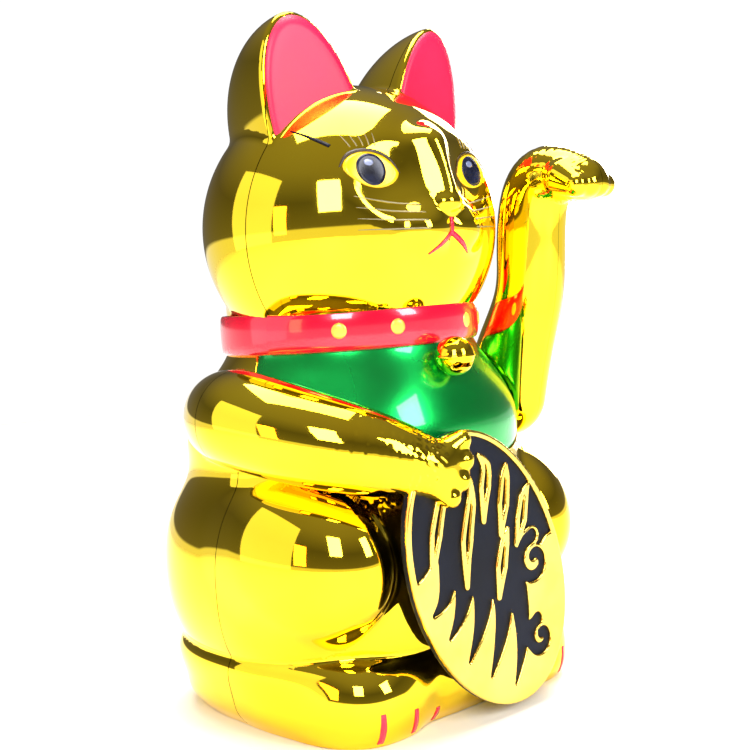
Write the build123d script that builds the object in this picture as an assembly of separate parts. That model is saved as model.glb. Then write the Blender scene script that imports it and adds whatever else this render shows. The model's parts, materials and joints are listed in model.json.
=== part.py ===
from build123d import *
import math
import os

# A waving lucky cat: a hollow gold moulding in two halves, with a separate arm that
# swings on an axle through the left shoulder. A pendulum and magnet hang from the axle
# over a coil in the base. The cat faces -Y, its left side is +X, and it stands on z = 0.
# All sizes are millimetres.

# ---- driving dimensions ----
WALL = 1.8
# The parting plane meets the floor at SEAM_Y and leans forward by SEAM_LEAN degrees
SEAM_Y = 1.5
SEAM_LEAN = 5.1
SEAM_GAP = 0.2

# Body sections: height, half width, half depth, centre y, squareness power
BODY_SECTIONS = [
    (0.0, 47.5, 44.0, 5.0, 2.6),
    (3.5, 50.5, 47.0, 5.0, 2.6),
    (20.0, 54.5, 50.0, 4.8, 2.5),
    (44.0, 58.2, 54.0, 4.2, 2.4),
    (60.0, 55.0, 51.5, 4.0, 2.3),
    (71.0, 50.5, 47.5, 3.8, 2.2),
    (80.0, 50.0, 47.0, 3.2, 2.2),
    (90.0, 47.5, 44.5, 2.8, 2.1),
    (98.0, 42.5, 40.5, 2.2, 2.0),
    (104.0, 37.0, 36.8, 1.7, 2.0),
    (116.0, 36.8, 36.8, 1.7, 2.0),
]
SECTION_POINTS = 24

HEAD_CENTRE = (0, -3, 139.5)
HEAD_RADII = (45.5, 41.5, 42.5)

EAR_CENTRE = (20.5, -16, 166)
EAR_RADII = (15.5, 36, 34)
EAR_LEAN = 14
EAR_FACE_POINT = (28, -16, 180)
EAR_FACE_TURN = 9.6
EAR_RIM = 1.2
LINING_THICK = 0.5

EYE_PLACE = (19.5, 153)
EYE_HALF_SIZE = (8, 6)

FOOT_CENTRE = (27, -24, 12)
FOOT_RADII = (21, 21.5, 15)

# Fixed right arm: centre line points and radii, shoulder to paw
FIXED_ARM = [
    ((-44, 4, 88), 13),
    ((-50, -12, 88), 13.5),
    ((-44, -34, 81.5), 12.5),
    ((-29, -46, 75), 11.5),
    ((-17, -50, 72), 8.5),
]

# Domed limb ends: how far out, and how wide, as parts of the end radius
DOME_STEPS = [(0.5, 0.87), (0.85, 0.53), (0.97, 0.24)]

# Waving arm, in its own plane: y, z and radius, shoulder to paw tip
ARM_X = 48.5
ARM_HALF_THICK = 9.6
WAVING_ARM = [
    ((-17, 86), 14.5),
    ((-22, 99), 13),
    ((-29, 115), 10.7),
    ((-31.5, 130), 11),
    ((-34, 144.5), 10.5),
    ((-41, 151.5), 9.5),
    ((-51, 150.5), 7.5),
    ((-59.5, 147), 5),
]
PIVOT_Y = -17.0
PIVOT_Z = 88.0
ARM_FACE_X = 38.8
ARM_HUB_RADIUS = 5.0
POCKET_X = 38.0
POCKET_RADIUS = 17.5
POCKET_TOP = 118.0
POCKET_BACK_Y = 0.5

AXLE_RADIUS = 2.0
AXLE_START_X = 11.5
AXLE_END_X = 47.0
RUNNING_CLEARANCE = 0.06
BUSH_RADIUS = 4.1
BUSH_FLANGE_RADIUS = 5.6
CLIP_RADIUS = 4.0
CLIP_THICK = 0.8

# Bracket that carries the axle, on two posts from the back wall
BRACKET_BACK_Y = 8.5
BRACKET_WEB_Y = 6.3
BRACKET_POST_Z = (83.0, 93.0)
BRACKET_LOW = 79.0
BRACKET_HIGH = 97.0
CHEEK_X = [(14.0, 16.0), (27.0, 29.0)]
POST_RADIUS = 3.0
POST_BORE = 1.1

# Pendulum
LEVER_X = 21.5
LEVER_THICK = 2.4
LEVER_END_Y = 0.1
LEVER_END_Z = 27.0
LEVER_HUB_RADIUS = 6.0
LEVER_HUB_HALF = 3.0
SEAT_BELOW = 1.5
MAGNET_RADIUS = 5.0
MAGNET_THICK = 4.0
COUNTERWEIGHT_SIZE = (9.0, 11.0, 8.8)

# Neck, collar and bell
COLLAR_Y = 1.7
COLLAR_LOW = 104.8
COLLAR_HIGH = 116.4
COLLAR_RADIUS = 38.7
COLLAR_FRONT_STEP = 0.7
COLLAR_INNER = 37.1
# Turned from straight ahead: a pair of studs each side of the bell
STUD_TURNS = (-44, -20, 20, 44)
STUD_RADIUS = 2.4
STUD_THICK = 1.4
BELL_CENTRE = (0, -43.2, 101.1)
BELL_RADIUS = 5.8
BELL_WALL = 1.0
BELL_PEG = 0.5
BELL_PEG_RADIUS = 1.0

# Chest cover: an ellipse seen from the front, cut off straight below
BIB_THICK = 0.7
BIB_CENTRE = (2, 106)
BIB_HALF_SIZE = (38, 29)
BIB_LOW = 70.0
BIB_BACK_Y = -8.0

# Oval coin plate
KOBAN_LENGTH = 83.0
KOBAN_WIDTH = 56.0
KOBAN_THICK = 2.2
KOBAN_RIM = 1.6
KOBAN_RIM_RISE = 0.9
KOBAN_TILT = -23.6
KOBAN_CENTRE = (-1.5, -50.3, 42.3)
PEG_RADIUS = 2.0
PEG_LENGTH = 5.0
PEG_SPACING = 30.0

# Base, battery bay and electronics
BASE_PLATE = (44.3, 40.8, 5.0, 2.6)
BASE_THICK = 3.0
BAY_X = (-33.5, -3.5)
BAY_Y = (-22.0, 32.0)
BAY_TOP = 17.2
BAY_WALL = 1.2
DOOR_THICK = 1.4
DOOR_LAP = 1.0
DOOR_TRAVEL = 12.0
CELL_RADIUS = 7.1
CELL_LENGTH = 49.0
CELL_X = (-26.1, -10.9)
CELL_Z = 9.6
BOARD_X = (4.0, 39.0)
BOARD_Y = (-20.0, 28.0)
BOARD_Z = 9.0
BOARD_THICK = 1.6
BOARD_TOP = BOARD_Z + BOARD_THICK
COIL_HEIGHT = 7.6
COIL_RADIUS = 8.5
BOSS_POINTS = [(-40.5, -12.5), (40.5, -12.5), (-40.5, 18.0), (40.5, 18.0)]
BOSS_TOP = 8.0
BOSS_RADIUS = 3.2
BOSS_BORE = 1.2
BOSS_RIB_END = 49.2
SWITCH_CENTRE = (26.0, 35.0)
SWITCH_TRAVEL = 3.0
SWITCH_HALF_LENGTH = 6.0
SWITCH_SLOT = (4.0, 1.6)
LEAD_RADIUS = 0.65


def between(low, high):
    """A box from its lowest to its highest corner."""
    size = [h - l for l, h in zip(low, high)]
    middle = [(h + l) / 2 for l, h in zip(low, high)]
    return Pos(*middle) * Box(*size)


def rod_x(radius, x_low, x_high, y, z):
    return Pos((x_low + x_high) / 2, y, z) * Rot(0, 90, 0) * Cylinder(radius, x_high - x_low)


def rod_y(radius, y_low, y_high, x, z):
    return Pos(x, (y_low + y_high) / 2, z) * Rot(90, 0, 0) * Cylinder(radius, y_high - y_low)


def rod_z(radius, z_low, z_high, x, y):
    return Pos(x, y, (z_low + z_high) / 2) * Cylinder(radius, z_high - z_low)


def section(z, half_width, half_depth, centre_y, power):
    """A closed superellipse outline at one height."""
    points = []
    for i in range(SECTION_POINTS):
        angle = 2 * math.pi * (i + 0.5) / SECTION_POINTS
        c = math.cos(angle)
        s = math.sin(angle)
        x = half_width * math.copysign(abs(c) ** (2 / power), c)
        y = half_depth * math.copysign(abs(s) ** (2 / power), s)
        points.append((x, y + centre_y))
    outline = make_face(Spline(*points, periodic=True))
    return Pos(0, 0, z) * outline


def trunk(grow):
    """The body without head, arms or feet. A negative grow shrinks it."""
    faces = []
    neck_top = BODY_SECTIONS[-1][0]
    for z, half_width, half_depth, centre_y, power in BODY_SECTIONS:
        height = z + grow if z == neck_top else z
        faces.append(section(height, half_width + grow, half_depth + grow, centre_y, power))
    return loft(faces)


def ellipsoid(centre, radii, grow=0.0):
    size = tuple(r + grow for r in radii)
    return Pos(*centre) * scale(Sphere(1), by=size)


def ear(side, grow):
    """A tilted half ellipsoid with a flat face towards the front."""
    x, y, z = EAR_CENTRE
    size = tuple(r + grow for r in EAR_RADII)
    lump = Pos(side * x, y, z) * Rot(0, side * EAR_LEAN, 0) * scale(Sphere(1), by=size)
    return lump - ear_front(side, -grow)


def ear_front(side, depth):
    """The space in front of the flat ear face, set back by depth."""
    x, y, z = EAR_FACE_POINT
    block = Pos(0, -30 + depth, -10) * Box(90, 60, 110)
    return Pos(side * x, y, z) * Rot(0, 0, side * EAR_FACE_TURN) * block


def limb(stations, grow, across, side_limit=99.0):
    """A tapering limb along a bent centre line, with domed ends.

    across is a direction square to the limb all along it, and side_limit caps the half
    width that way, for a limb that is flatter than it is deep.
    """
    centres = [Vector(*point) for point, _ in stations]
    radii = [radius + grow for _, radius in stations]
    start = (centres[0] - centres[1]).normalized()
    end = (centres[-1] - centres[-2]).normalized()
    spots = []
    for along, width in reversed(DOME_STEPS):
        spots.append((centres[0] + start * (along * radii[0]), width * radii[0]))
    spots += list(zip(centres, radii))
    for along, width in DOME_STEPS:
        spots.append((centres[-1] + end * (along * radii[-1]), width * radii[-1]))
    faces = []
    for i, (centre, radius) in enumerate(spots):
        before = spots[max(i - 1, 0)][0]
        after = spots[min(i + 1, len(spots) - 1)][0]
        plane = Plane(origin=centre, z_dir=after - before, x_dir=across)
        limit = side_limit + grow
        half_width = min(radius, limit * radius / max(radius, limit))
        faces.append(plane * Ellipse(half_width, radius))
    return loft(faces)


def body_form(grow):
    """Head, ears, trunk, feet and the fixed arm as one solid."""
    solid = trunk(grow) + ellipsoid(HEAD_CENTRE, HEAD_RADII, grow)
    x, y, z = FOOT_CENTRE
    for side in (-1, 1):
        solid += ear(side, grow)
        solid += ellipsoid((side * x, y, z), FOOT_RADII, grow)
    solid += limb(FIXED_ARM, grow, (0, 0, 1))
    return solid


def arm_pocket(grow):
    """The recess in the left shoulder in which the waving arm turns."""
    x_low = POCKET_X - grow
    hub = rod_x(POCKET_RADIUS + grow, x_low, 80, PIVOT_Y, PIVOT_Z)
    sweep = between((x_low, -60, PIVOT_Z - grow), (80, POCKET_BACK_Y + grow, POCKET_TOP))
    return hub + sweep


def waving_arm(grow):
    stations = []
    for (y, z), radius in WAVING_ARM:
        stations.append(((ARM_X, y, z), radius))
    return limb(stations, grow, (1, 0, 0), ARM_HALF_THICK)


def shells():
    """The front and back body halves, with their bosses and holes."""
    hollow = body_form(-WALL) - arm_pocket(WALL)
    hollow += between((-44, -36, -2), (44, 46, 2)) & section_prism(BASE_PLATE, 0.3, -2, 2)
    skin = body_form(0) - arm_pocket(0) - hollow
    skin -= rod_x(BUSH_RADIUS + 0.1, 30, 42, PIVOT_Y, PIVOT_Z)
    skin &= between((-90, -90, 0), (90, 90, 220))
    front = skin & seam_side(-1)
    back = skin & seam_side(1)
    for x, y in BOSS_POINTS:
        if y < 0:
            front += base_boss(x, y)
        else:
            back += base_boss(x, y)
    for z in BRACKET_POST_Z:
        back += bracket_post(z)
    front -= koban_pegs(0.1)
    slot = extrude(Ellipse(KOBAN_WIDTH / 2 + 0.1, KOBAN_LENGTH / 2 + 0.1), KOBAN_THICK + 1)
    front -= koban_place() * slot
    return front, back


def base_boss(x, y):
    """A screw boss for the base plate, with a rib to the side wall."""
    low = BASE_THICK + 0.1
    edge = math.copysign(BOSS_RIB_END, x)
    boss = rod_z(BOSS_RADIUS, low, BOSS_TOP, x, y)
    boss += between((min(x, edge), y - 1, low), (max(x, edge), y + 1, BOSS_TOP))
    return boss - rod_z(BOSS_BORE, BASE_THICK, BOSS_TOP + 1, x, y)


def bracket_post(z):
    """A hollow post on the back wall that takes one bracket screw."""
    post = rod_y(POST_RADIUS, BRACKET_BACK_Y, 60, LEVER_X, z) & trunk(-WALL / 2)
    return post - rod_y(POST_BORE, BRACKET_BACK_Y - 1, BRACKET_BACK_Y + 10, LEVER_X, z)


def seam_side(side):
    """The space in front of (-1) or behind (1) the leaning parting plane."""
    near = SEAM_GAP / 2
    block = Pos(0, side * (near + 75), 110) * Box(200, 150, 300)
    return Pos(0, SEAM_Y, 0) * Rot(SEAM_LEAN, 0, 0) * block


def section_prism(plan, trim, z_low, z_high):
    """A straight block with the base plate's outline."""
    half_width, half_depth, centre_y, power = plan
    face = section(z_low, half_width + trim, half_depth + trim, centre_y, power)
    return extrude(face, z_high - z_low)


def arm_bracket():
    """A U-shaped bracket: two cheeks with the axle holes and a web behind."""
    x_low = CHEEK_X[0][0]
    x_high = CHEEK_X[1][1]
    web = between((x_low, BRACKET_WEB_Y, BRACKET_LOW), (x_high, BRACKET_BACK_Y, BRACKET_HIGH))
    for z in BRACKET_POST_Z:
        web -= rod_y(1.4, 5, 10, LEVER_X, z)
    for x_low, x_high in CHEEK_X:
        cheek = between((x_low, PIVOT_Y, BRACKET_LOW), (x_high, BRACKET_BACK_Y, BRACKET_HIGH))
        cheek += rod_x((BRACKET_HIGH - BRACKET_LOW) / 2, x_low, x_high, PIVOT_Y, PIVOT_Z)
        cheek -= rod_x(AXLE_RADIUS + RUNNING_CLEARANCE, x_low - 1, x_high + 1, PIVOT_Y, PIVOT_Z)
        web += cheek
    return web


def screws_y(points, y_head, length, radius):
    """Pan-head screws that point along +Y."""
    group = []
    for x, z in points:
        screw = rod_y(radius * 2, y_head, y_head + 1.4, x, z)
        screw += rod_y(radius, y_head + 1.4, y_head + 1.4 + length, x, z)
        screw -= between((x - 0.3, y_head - 1, z - 1.4), (x + 0.3, y_head + 0.6, z + 1.4))
        screw -= between((x - 1.4, y_head - 1, z - 0.3), (x + 1.4, y_head + 0.6, z + 0.3))
        group.append(screw)
    return Compound(children=group)


def screws_z(points, z_head, length, radius, up):
    """Pan-head screws along Z. With up = 1 they point upwards."""
    group = []
    for x, y in points:
        ends = sorted((z_head, z_head + up * 1.3))
        screw = rod_z(radius * 1.9, ends[0], ends[1], x, y)
        ends = sorted((z_head + up * 1.3, z_head + up * (1.3 + length)))
        screw += rod_z(radius, ends[0], ends[1], x, y)
        slot = sorted((z_head - up, z_head + up * 0.6))
        screw -= between((x - 1.4, y - 0.3, slot[0]), (x + 1.4, y + 0.3, slot[1]))
        screw -= between((x - 0.3, y - 1.4, slot[0]), (x + 0.3, y + 1.4, slot[1]))
        group.append(screw)
    return Compound(children=group)


def lever():
    """The pendulum arm: a hub on the axle, a tapering blade and a magnet seat."""
    hub = rod_x(LEVER_HUB_RADIUS, LEVER_X - LEVER_HUB_HALF, LEVER_X + LEVER_HUB_HALF, PIVOT_Y, PIVOT_Z)
    blade = Plane.YZ.offset(LEVER_X - LEVER_THICK / 2) * make_face(
        Polyline(
            (PIVOT_Y - 4.5, PIVOT_Z),
            (LEVER_END_Y - 3, LEVER_END_Z),
            (LEVER_END_Y + 3, LEVER_END_Z),
            (PIVOT_Y + 4.5, PIVOT_Z),
            close=True,
        )
    )
    solid = hub + extrude(blade, LEVER_THICK)
    seat_low = LEVER_END_Z - SEAT_BELOW
    solid += rod_z(MAGNET_RADIUS + 0.8, seat_low, LEVER_END_Z + 0.5, LEVER_X, LEVER_END_Y)
    solid -= rod_x(AXLE_RADIUS, LEVER_X - 4, LEVER_X + 4, PIVOT_Y, PIVOT_Z)
    return solid


def magnet():
    """The disc magnet under the pendulum's seat."""
    top = LEVER_END_Z - SEAT_BELOW
    return rod_z(MAGNET_RADIUS, top - MAGNET_THICK, top, LEVER_X, LEVER_END_Y)


def counterweight():
    """A steel block that grips the blade just above the magnet."""
    width, depth, height = COUNTERWEIGHT_SIZE
    y = LEVER_END_Y - 1.2
    z = LEVER_END_Z + 1.5
    low = (LEVER_X - width / 2, y - depth / 2, z)
    high = (LEVER_X + width / 2, y + depth / 2, z + height)
    return between(low, high) - lever()


def koban_place():
    return Pos(*KOBAN_CENTRE) * Rot(0, KOBAN_TILT, 0) * Rot(90, 0, 0)


def koban_pegs(grow):
    """Two pegs behind the coin plate that locate it in the belly."""
    pegs = None
    for side in (-1, 1):
        peg = Pos(0, side * PEG_SPACING / 2, -PEG_LENGTH / 2) * Cylinder(PEG_RADIUS + grow, PEG_LENGTH)
        peg = koban_place() * peg
        pegs = peg if pegs is None else pegs + peg
    return pegs


def koban():
    """The oval plate with its raised rim, standing on the belly."""
    plate = extrude(Ellipse(KOBAN_WIDTH / 2, KOBAN_LENGTH / 2), KOBAN_THICK)
    ring = Ellipse(KOBAN_WIDTH / 2, KOBAN_LENGTH / 2)
    ring -= Ellipse(KOBAN_WIDTH / 2 - KOBAN_RIM, KOBAN_LENGTH / 2 - KOBAN_RIM)
    plate += extrude(ring, KOBAN_THICK + KOBAN_RIM_RISE)
    solid = koban_place() * plate + koban_pegs(0)
    return solid


def collar_half(front):
    radius = COLLAR_RADIUS + (COLLAR_FRONT_STEP if front else 0)
    band = rod_z(radius, COLLAR_LOW, COLLAR_HIGH, 0, COLLAR_Y)
    band = fillet(band.edges().filter_by(GeomType.CIRCLE), 2.0)
    band -= rod_z(COLLAR_INNER, COLLAR_LOW - 1, COLLAR_HIGH + 1, 0, COLLAR_Y)
    band -= ellipsoid(HEAD_CENTRE, HEAD_RADII, 0.1)
    return band & seam_side(-1 if front else 1)


def collar_studs(grow):
    """Round studs along the front of the collar, in a pair each side of the bell."""
    middle = (COLLAR_LOW + COLLAR_HIGH) / 2
    radius = COLLAR_RADIUS + COLLAR_FRONT_STEP
    group = []
    for turn in STUD_TURNS:
        place = Rot(0, 0, turn - 90) * Pos(radius, 0, 0) * Rot(0, 90, 0)
        stud = Pos(0, COLLAR_Y, middle) * place * Cylinder(STUD_RADIUS + grow, STUD_THICK)
        group.append(stud)
    return group


def bell():
    """A round jingle bell with a slot below, moulded hollow."""
    solid = Pos(*BELL_CENTRE) * (Sphere(BELL_RADIUS) - Sphere(BELL_RADIUS - BELL_WALL))
    x, y, z = BELL_CENTRE
    solid -= between((x - 4.2, y - 8, z - 2.0), (x + 4.2, y - 1, z - 1.2))
    solid += rod_y(BELL_PEG_RADIUS, y + BELL_RADIUS - 0.6, y + BELL_RADIUS + BELL_PEG, x, z)
    return solid


def bib():
    """A thin shaped cover on the chest, from the collar to the coin plate."""
    cover = trunk(BIB_THICK + 0.05) - trunk(0.05)
    outline = Plane.XZ * Pos(*BIB_CENTRE) * Ellipse(*BIB_HALF_SIZE)
    cover &= extrude(outline, 60)
    cover &= between((-60, -60, BIB_LOW), (POCKET_X - 0.3, BIB_BACK_Y, COLLAR_LOW - 0.1))
    cover -= limb(FIXED_ARM, 0.1, (0, 0, 1))
    cover -= koban_place() * extrude(Ellipse(KOBAN_WIDTH / 2 + 0.2, KOBAN_LENGTH / 2 + 0.2), 8)
    x, y, z = BELL_CENTRE
    cover -= Pos(x, y, z) * Sphere(BELL_RADIUS + 0.1)
    cover -= rod_y(BELL_PEG_RADIUS + 0.1, y, -30, x, z)
    cover -= arm_pocket(0.3)
    return cover.solids().sort_by(SortBy.VOLUME)[-1]


def ear_lining(side):
    """The flat red face inside the rim of one ear."""
    x, y, z = EAR_CENTRE
    size = tuple(r - EAR_RIM for r in EAR_RADII)
    lump = Pos(side * x, y, z) * Rot(0, side * EAR_LEAN, 0) * scale(Sphere(1), by=size)
    fx, fy, fz = EAR_FACE_POINT
    slab = Pos(0, -0.02 - LINING_THICK / 2, 0) * Box(60, LINING_THICK, 80)
    slab = Pos(side * fx, fy, fz) * Rot(0, 0, side * EAR_FACE_TURN) * slab
    lump &= slab
    return lump - ellipsoid(HEAD_CENTRE, HEAD_RADII, 0.05)


def eye_film(side):
    """One printed eye, almond shaped, as a thin film on the face."""
    skin = ellipsoid(HEAD_CENTRE, HEAD_RADII, 0.3) - ellipsoid(HEAD_CENTRE, HEAD_RADII, 0.02)
    x, z = EYE_PLACE
    outline = Plane.XZ * Pos(side * x, z) * Ellipse(*EYE_HALF_SIZE)
    return skin & extrude(outline, 60)


def battery(x):
    low = BAY_Y[0] + 2.4
    cell = rod_y(CELL_RADIUS, low, low + CELL_LENGTH, x, CELL_Z)
    nub = rod_y(2.7, low + CELL_LENGTH, low + CELL_LENGTH + 1.2, x, CELL_Z)
    return cell + nub


def contact_springs():
    """Two flat-wound springs at the negative ends, as stepped cones."""
    group = []
    for x in CELL_X:
        coil = rod_y(4.6, BAY_Y[0] + 0.5, BAY_Y[0] + 1.2, x, CELL_Z)
        coil += rod_y(3.2, BAY_Y[0] + 1.1, BAY_Y[0] + 2.3, x, CELL_Z)
        group.append(coil)
    return Compound(children=group)


def contact_tabs():
    group = []
    for x in CELL_X:
        group.append(between((x - 5, BAY_Y[0] + 0.05, 5), (x + 5, BAY_Y[0] + 0.45, 15)))
    return Compound(children=group)


def contact_bridge():
    low = (CELL_X[0] - 5, BAY_Y[1] - 0.45, 5)
    high = (CELL_X[1] + 5, BAY_Y[1] - 0.05, 15)
    return between(low, high)


def base_plate():
    """The bottom cover with the battery bay, door recess and board posts."""
    plate = section_prism(BASE_PLATE, 0, 0, BASE_THICK)
    outer_low = (BAY_X[0] - BAY_WALL, BAY_Y[0] - BAY_WALL, BASE_THICK - 1)
    outer_high = (BAY_X[1] + BAY_WALL, BAY_Y[1] + BAY_WALL, BAY_TOP + BAY_WALL)
    plate += between(outer_low, outer_high)
    plate -= between((BAY_X[0], BAY_Y[0], -1), (BAY_X[1], BAY_Y[1], BAY_TOP))
    lap = DOOR_LAP + 0.3
    recess_low = (BAY_X[0] - lap, BAY_Y[0] - lap, -1)
    recess_high = (BAY_X[1] + lap + DOOR_TRAVEL, BAY_Y[1] + lap, DOOR_THICK + 0.3)
    plate -= between(recess_low, recess_high)
    for x, y in board_points():
        plate += rod_z(2.6, BASE_THICK - 0.5, BOARD_Z, x, y)
        plate -= rod_z(1.0, BASE_THICK + 1, BOARD_Z + 1, x, y)
    for x, y in BOSS_POINTS:
        plate -= rod_z(1.5, -1, BASE_THICK + 1, x, y)
        plate -= rod_z(2.8, -1, 1.6, x, y)
    sx, sy = SWITCH_CENTRE
    reach = SWITCH_HALF_LENGTH
    slot_x, slot_y = SWITCH_SLOT
    plate -= between((sx - reach, sy - 2.5, -1), (sx + reach, sy + 2.5, 1.6))
    plate -= between((sx - slot_x, sy - slot_y, -1), (sx + slot_x, sy + slot_y, BASE_THICK + 1))
    for side in (-1, 1):
        wall = sy + side * 3.9
        plate += between((sx - reach, wall - 0.6, BASE_THICK - 0.5), (sx + reach, wall + 0.6, BASE_THICK + 4))
    return plate


def board_points():
    points = []
    for x in (BOARD_X[0] + 4, BOARD_X[1] - 4):
        for y in (BOARD_Y[0] + 4, BOARD_Y[1] - 4):
            points.append((x, y))
    return points


def battery_door():
    """The sliding door, with ridges for the thumb."""
    low = (BAY_X[0] - DOOR_LAP, BAY_Y[0] - DOOR_LAP, 0.1)
    high = (BAY_X[1] + DOOR_LAP, BAY_Y[1] + DOOR_LAP, 0.1 + DOOR_THICK)
    door = between(low, high)
    for step in range(4):
        x = BAY_X[0] + 4 + 2 * step
        door -= between((x, -2, 0), (x + 1, 12, 0.6))
    return door


def circuit_board():
    board = between((BOARD_X[0], BOARD_Y[0], BOARD_Z), (BOARD_X[1], BOARD_Y[1], BOARD_Z + BOARD_THICK))
    for x, y in board_points():
        board -= rod_z(1.3, BOARD_Z - 1, BOARD_Z + 3, x, y)
    return board


def coil_bobbin():
    x, y = LEVER_X, LEVER_END_Y
    spool = rod_z(3.2, BOARD_TOP, BOARD_TOP + COIL_HEIGHT, x, y)
    spool += rod_z(COIL_RADIUS, BOARD_TOP, BOARD_TOP + 1, x, y)
    spool += rod_z(COIL_RADIUS, BOARD_TOP + COIL_HEIGHT - 1, BOARD_TOP + COIL_HEIGHT, x, y)
    return spool - rod_z(2.0, BOARD_TOP + 1, BOARD_TOP + COIL_HEIGHT + 1, x, y)


def coil_winding():
    x, y = LEVER_X, LEVER_END_Y
    low = BOARD_TOP + 1.05
    high = BOARD_TOP + COIL_HEIGHT - 1.05
    return rod_z(COIL_RADIUS - 0.9, low, high, x, y) - rod_z(3.25, low - 1, high + 1, x, y)


def transistor():
    """A small three-legged moulded package with one flat side."""
    x, y = 10.0, -8.0
    case = rod_z(2.4, BOARD_TOP + 2.5, BOARD_TOP + 7.2, x, y)
    case -= between((x - 4, y - 4, BOARD_TOP), (x + 4, y - 1.4, BOARD_TOP + 9))
    for step in (-1, 0, 1):
        leg_x = x + 1.27 * step
        case += between((leg_x - 0.2, y - 0.2, BOARD_TOP), (leg_x + 0.2, y + 0.2, BOARD_TOP + 2.6))
    return case


def capacitor():
    can = rod_z(3.2, BOARD_TOP + 0.4, BOARD_TOP + 8.4, 33.5, -8.0)
    can = fillet(can.edges().filter_by(GeomType.CIRCLE), 0.5)
    for side in (-1, 1):
        can += rod_z(0.3, BOARD_TOP, BOARD_TOP + 0.6, 33.5 + side * 1.25, -8.0)
    return can


def resistor():
    """An axial resistor lying on the board, with bent legs."""
    z = BOARD_TOP + 1.7
    solid = rod_x(1.2, 6.5, 12.5, 17.5, z)
    solid += rod_x(0.3, 5.2, 13.8, 17.5, z)
    for x in (5.5, 13.5):
        solid += rod_z(0.3, BOARD_TOP, z, x, 17.5)
    return solid


def switch_body():
    sx, sy = SWITCH_CENTRE
    slot_x, slot_y = SWITCH_SLOT
    low = (sx - SWITCH_HALF_LENGTH, sy - 3.2, BASE_THICK + 0.05)
    case = between(low, (sx + SWITCH_HALF_LENGTH, sy + 3.2, BASE_THICK + 5))
    slot_low = (sx - slot_x, sy - slot_y, BASE_THICK - 1)
    return case - between(slot_low, (sx + slot_x, sy + slot_y, BASE_THICK + 3))


def switch_slider():
    """The ridged thumb piece, set back inside its recess."""
    sx, sy = SWITCH_CENTRE
    x = sx - SWITCH_TRAVEL / 2
    knob = between((x - 2.2, sy - 1.4, 0.3), (x + 2.2, sy + 1.4, BASE_THICK + 2.6))
    for step in (-1, 0, 1):
        ridge = x + 1.3 * step
        knob -= between((ridge - 0.25, sy - 2, 0), (ridge + 0.25, sy + 2, 0.7))
    return knob


def lead(points, bend):
    """An insulated wire laid along straight runs with round bends."""
    path = FilletPolyline(*points, radius=bend)
    start = Plane(origin=path @ 0, z_dir=path % 0)
    return sweep(start * Circle(LEAD_RADIUS), path)


def leads():
    top = BAY_TOP + BAY_WALL + LEAD_RADIUS + 0.1
    over = BAY_Y[0] - 3.2
    red = lead(
        [(CELL_X[1], over, 12), (CELL_X[1], over, top + 1), (CELL_X[1] + 6, over + 5, top + 3),
         (CELL_X[1] + 14, over + 9, top - 1), (BOARD_X[0] + 3, over + 12, BOARD_TOP + 0.5)],
        3,
    )
    black = lead(
        [(CELL_X[0], over, 12), (CELL_X[0], over, top + 2), (CELL_X[0] + 12, over + 6, top + 5),
         (CELL_X[0] + 28, over + 15, top + 2), (BOARD_X[0] + 3, over + 20, BOARD_TOP + 0.5)],
        3,
    )
    sx, sy = SWITCH_CENTRE
    switch = lead(
        [(sx, sy, BASE_THICK + 5.1), (sx, sy, BASE_THICK + 12), (sx - 6, sy - 6, BASE_THICK + 14),
         (sx - 8, sy - 10, BOARD_TOP + 0.5)],
        2.5,
    )
    return red, black, switch


def shoulder_bush():
    inside = POCKET_X - WALL
    bush = rod_x(BUSH_RADIUS, inside - 0.2, POCKET_X + 0.3, PIVOT_Y, PIVOT_Z)
    bush += rod_x(BUSH_FLANGE_RADIUS, inside - 1.4, inside - 0.1, PIVOT_Y, PIVOT_Z)
    return bush - rod_x(AXLE_RADIUS + RUNNING_CLEARANCE, 30, 42, PIVOT_Y, PIVOT_Z)


def axle_clips():
    """Snap rings that hold the axle endwise in the bracket."""
    group = []
    for x in (AXLE_START_X + 1, CHEEK_X[1][1] + 0.4):
        ring = rod_x(CLIP_RADIUS, x, x + CLIP_THICK, PIVOT_Y, PIVOT_Z)
        ring -= rod_x(AXLE_RADIUS, x - 1, x + 2, PIVOT_Y, PIVOT_Z)
        group.append(ring)
    return Compound(children=group)


def arm_halves():
    """The hollow waving arm, parted along its own middle plane."""
    skin = waving_arm(0) - waving_arm(-WALL)
    hub = rod_x(ARM_HUB_RADIUS, ARM_FACE_X, AXLE_END_X + 0.5, PIVOT_Y, PIVOT_Z)
    outer = skin & between((ARM_X + 0.05, -90, 60), (70, 30, 180))
    inner = skin & between((30, -90, 60), (ARM_X - 0.05, 30, 180))
    inner += hub
    inner -= rod_x(AXLE_RADIUS, ARM_FACE_X - 1, AXLE_END_X, PIVOT_Y, PIVOT_Z)
    return outer, inner


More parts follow.
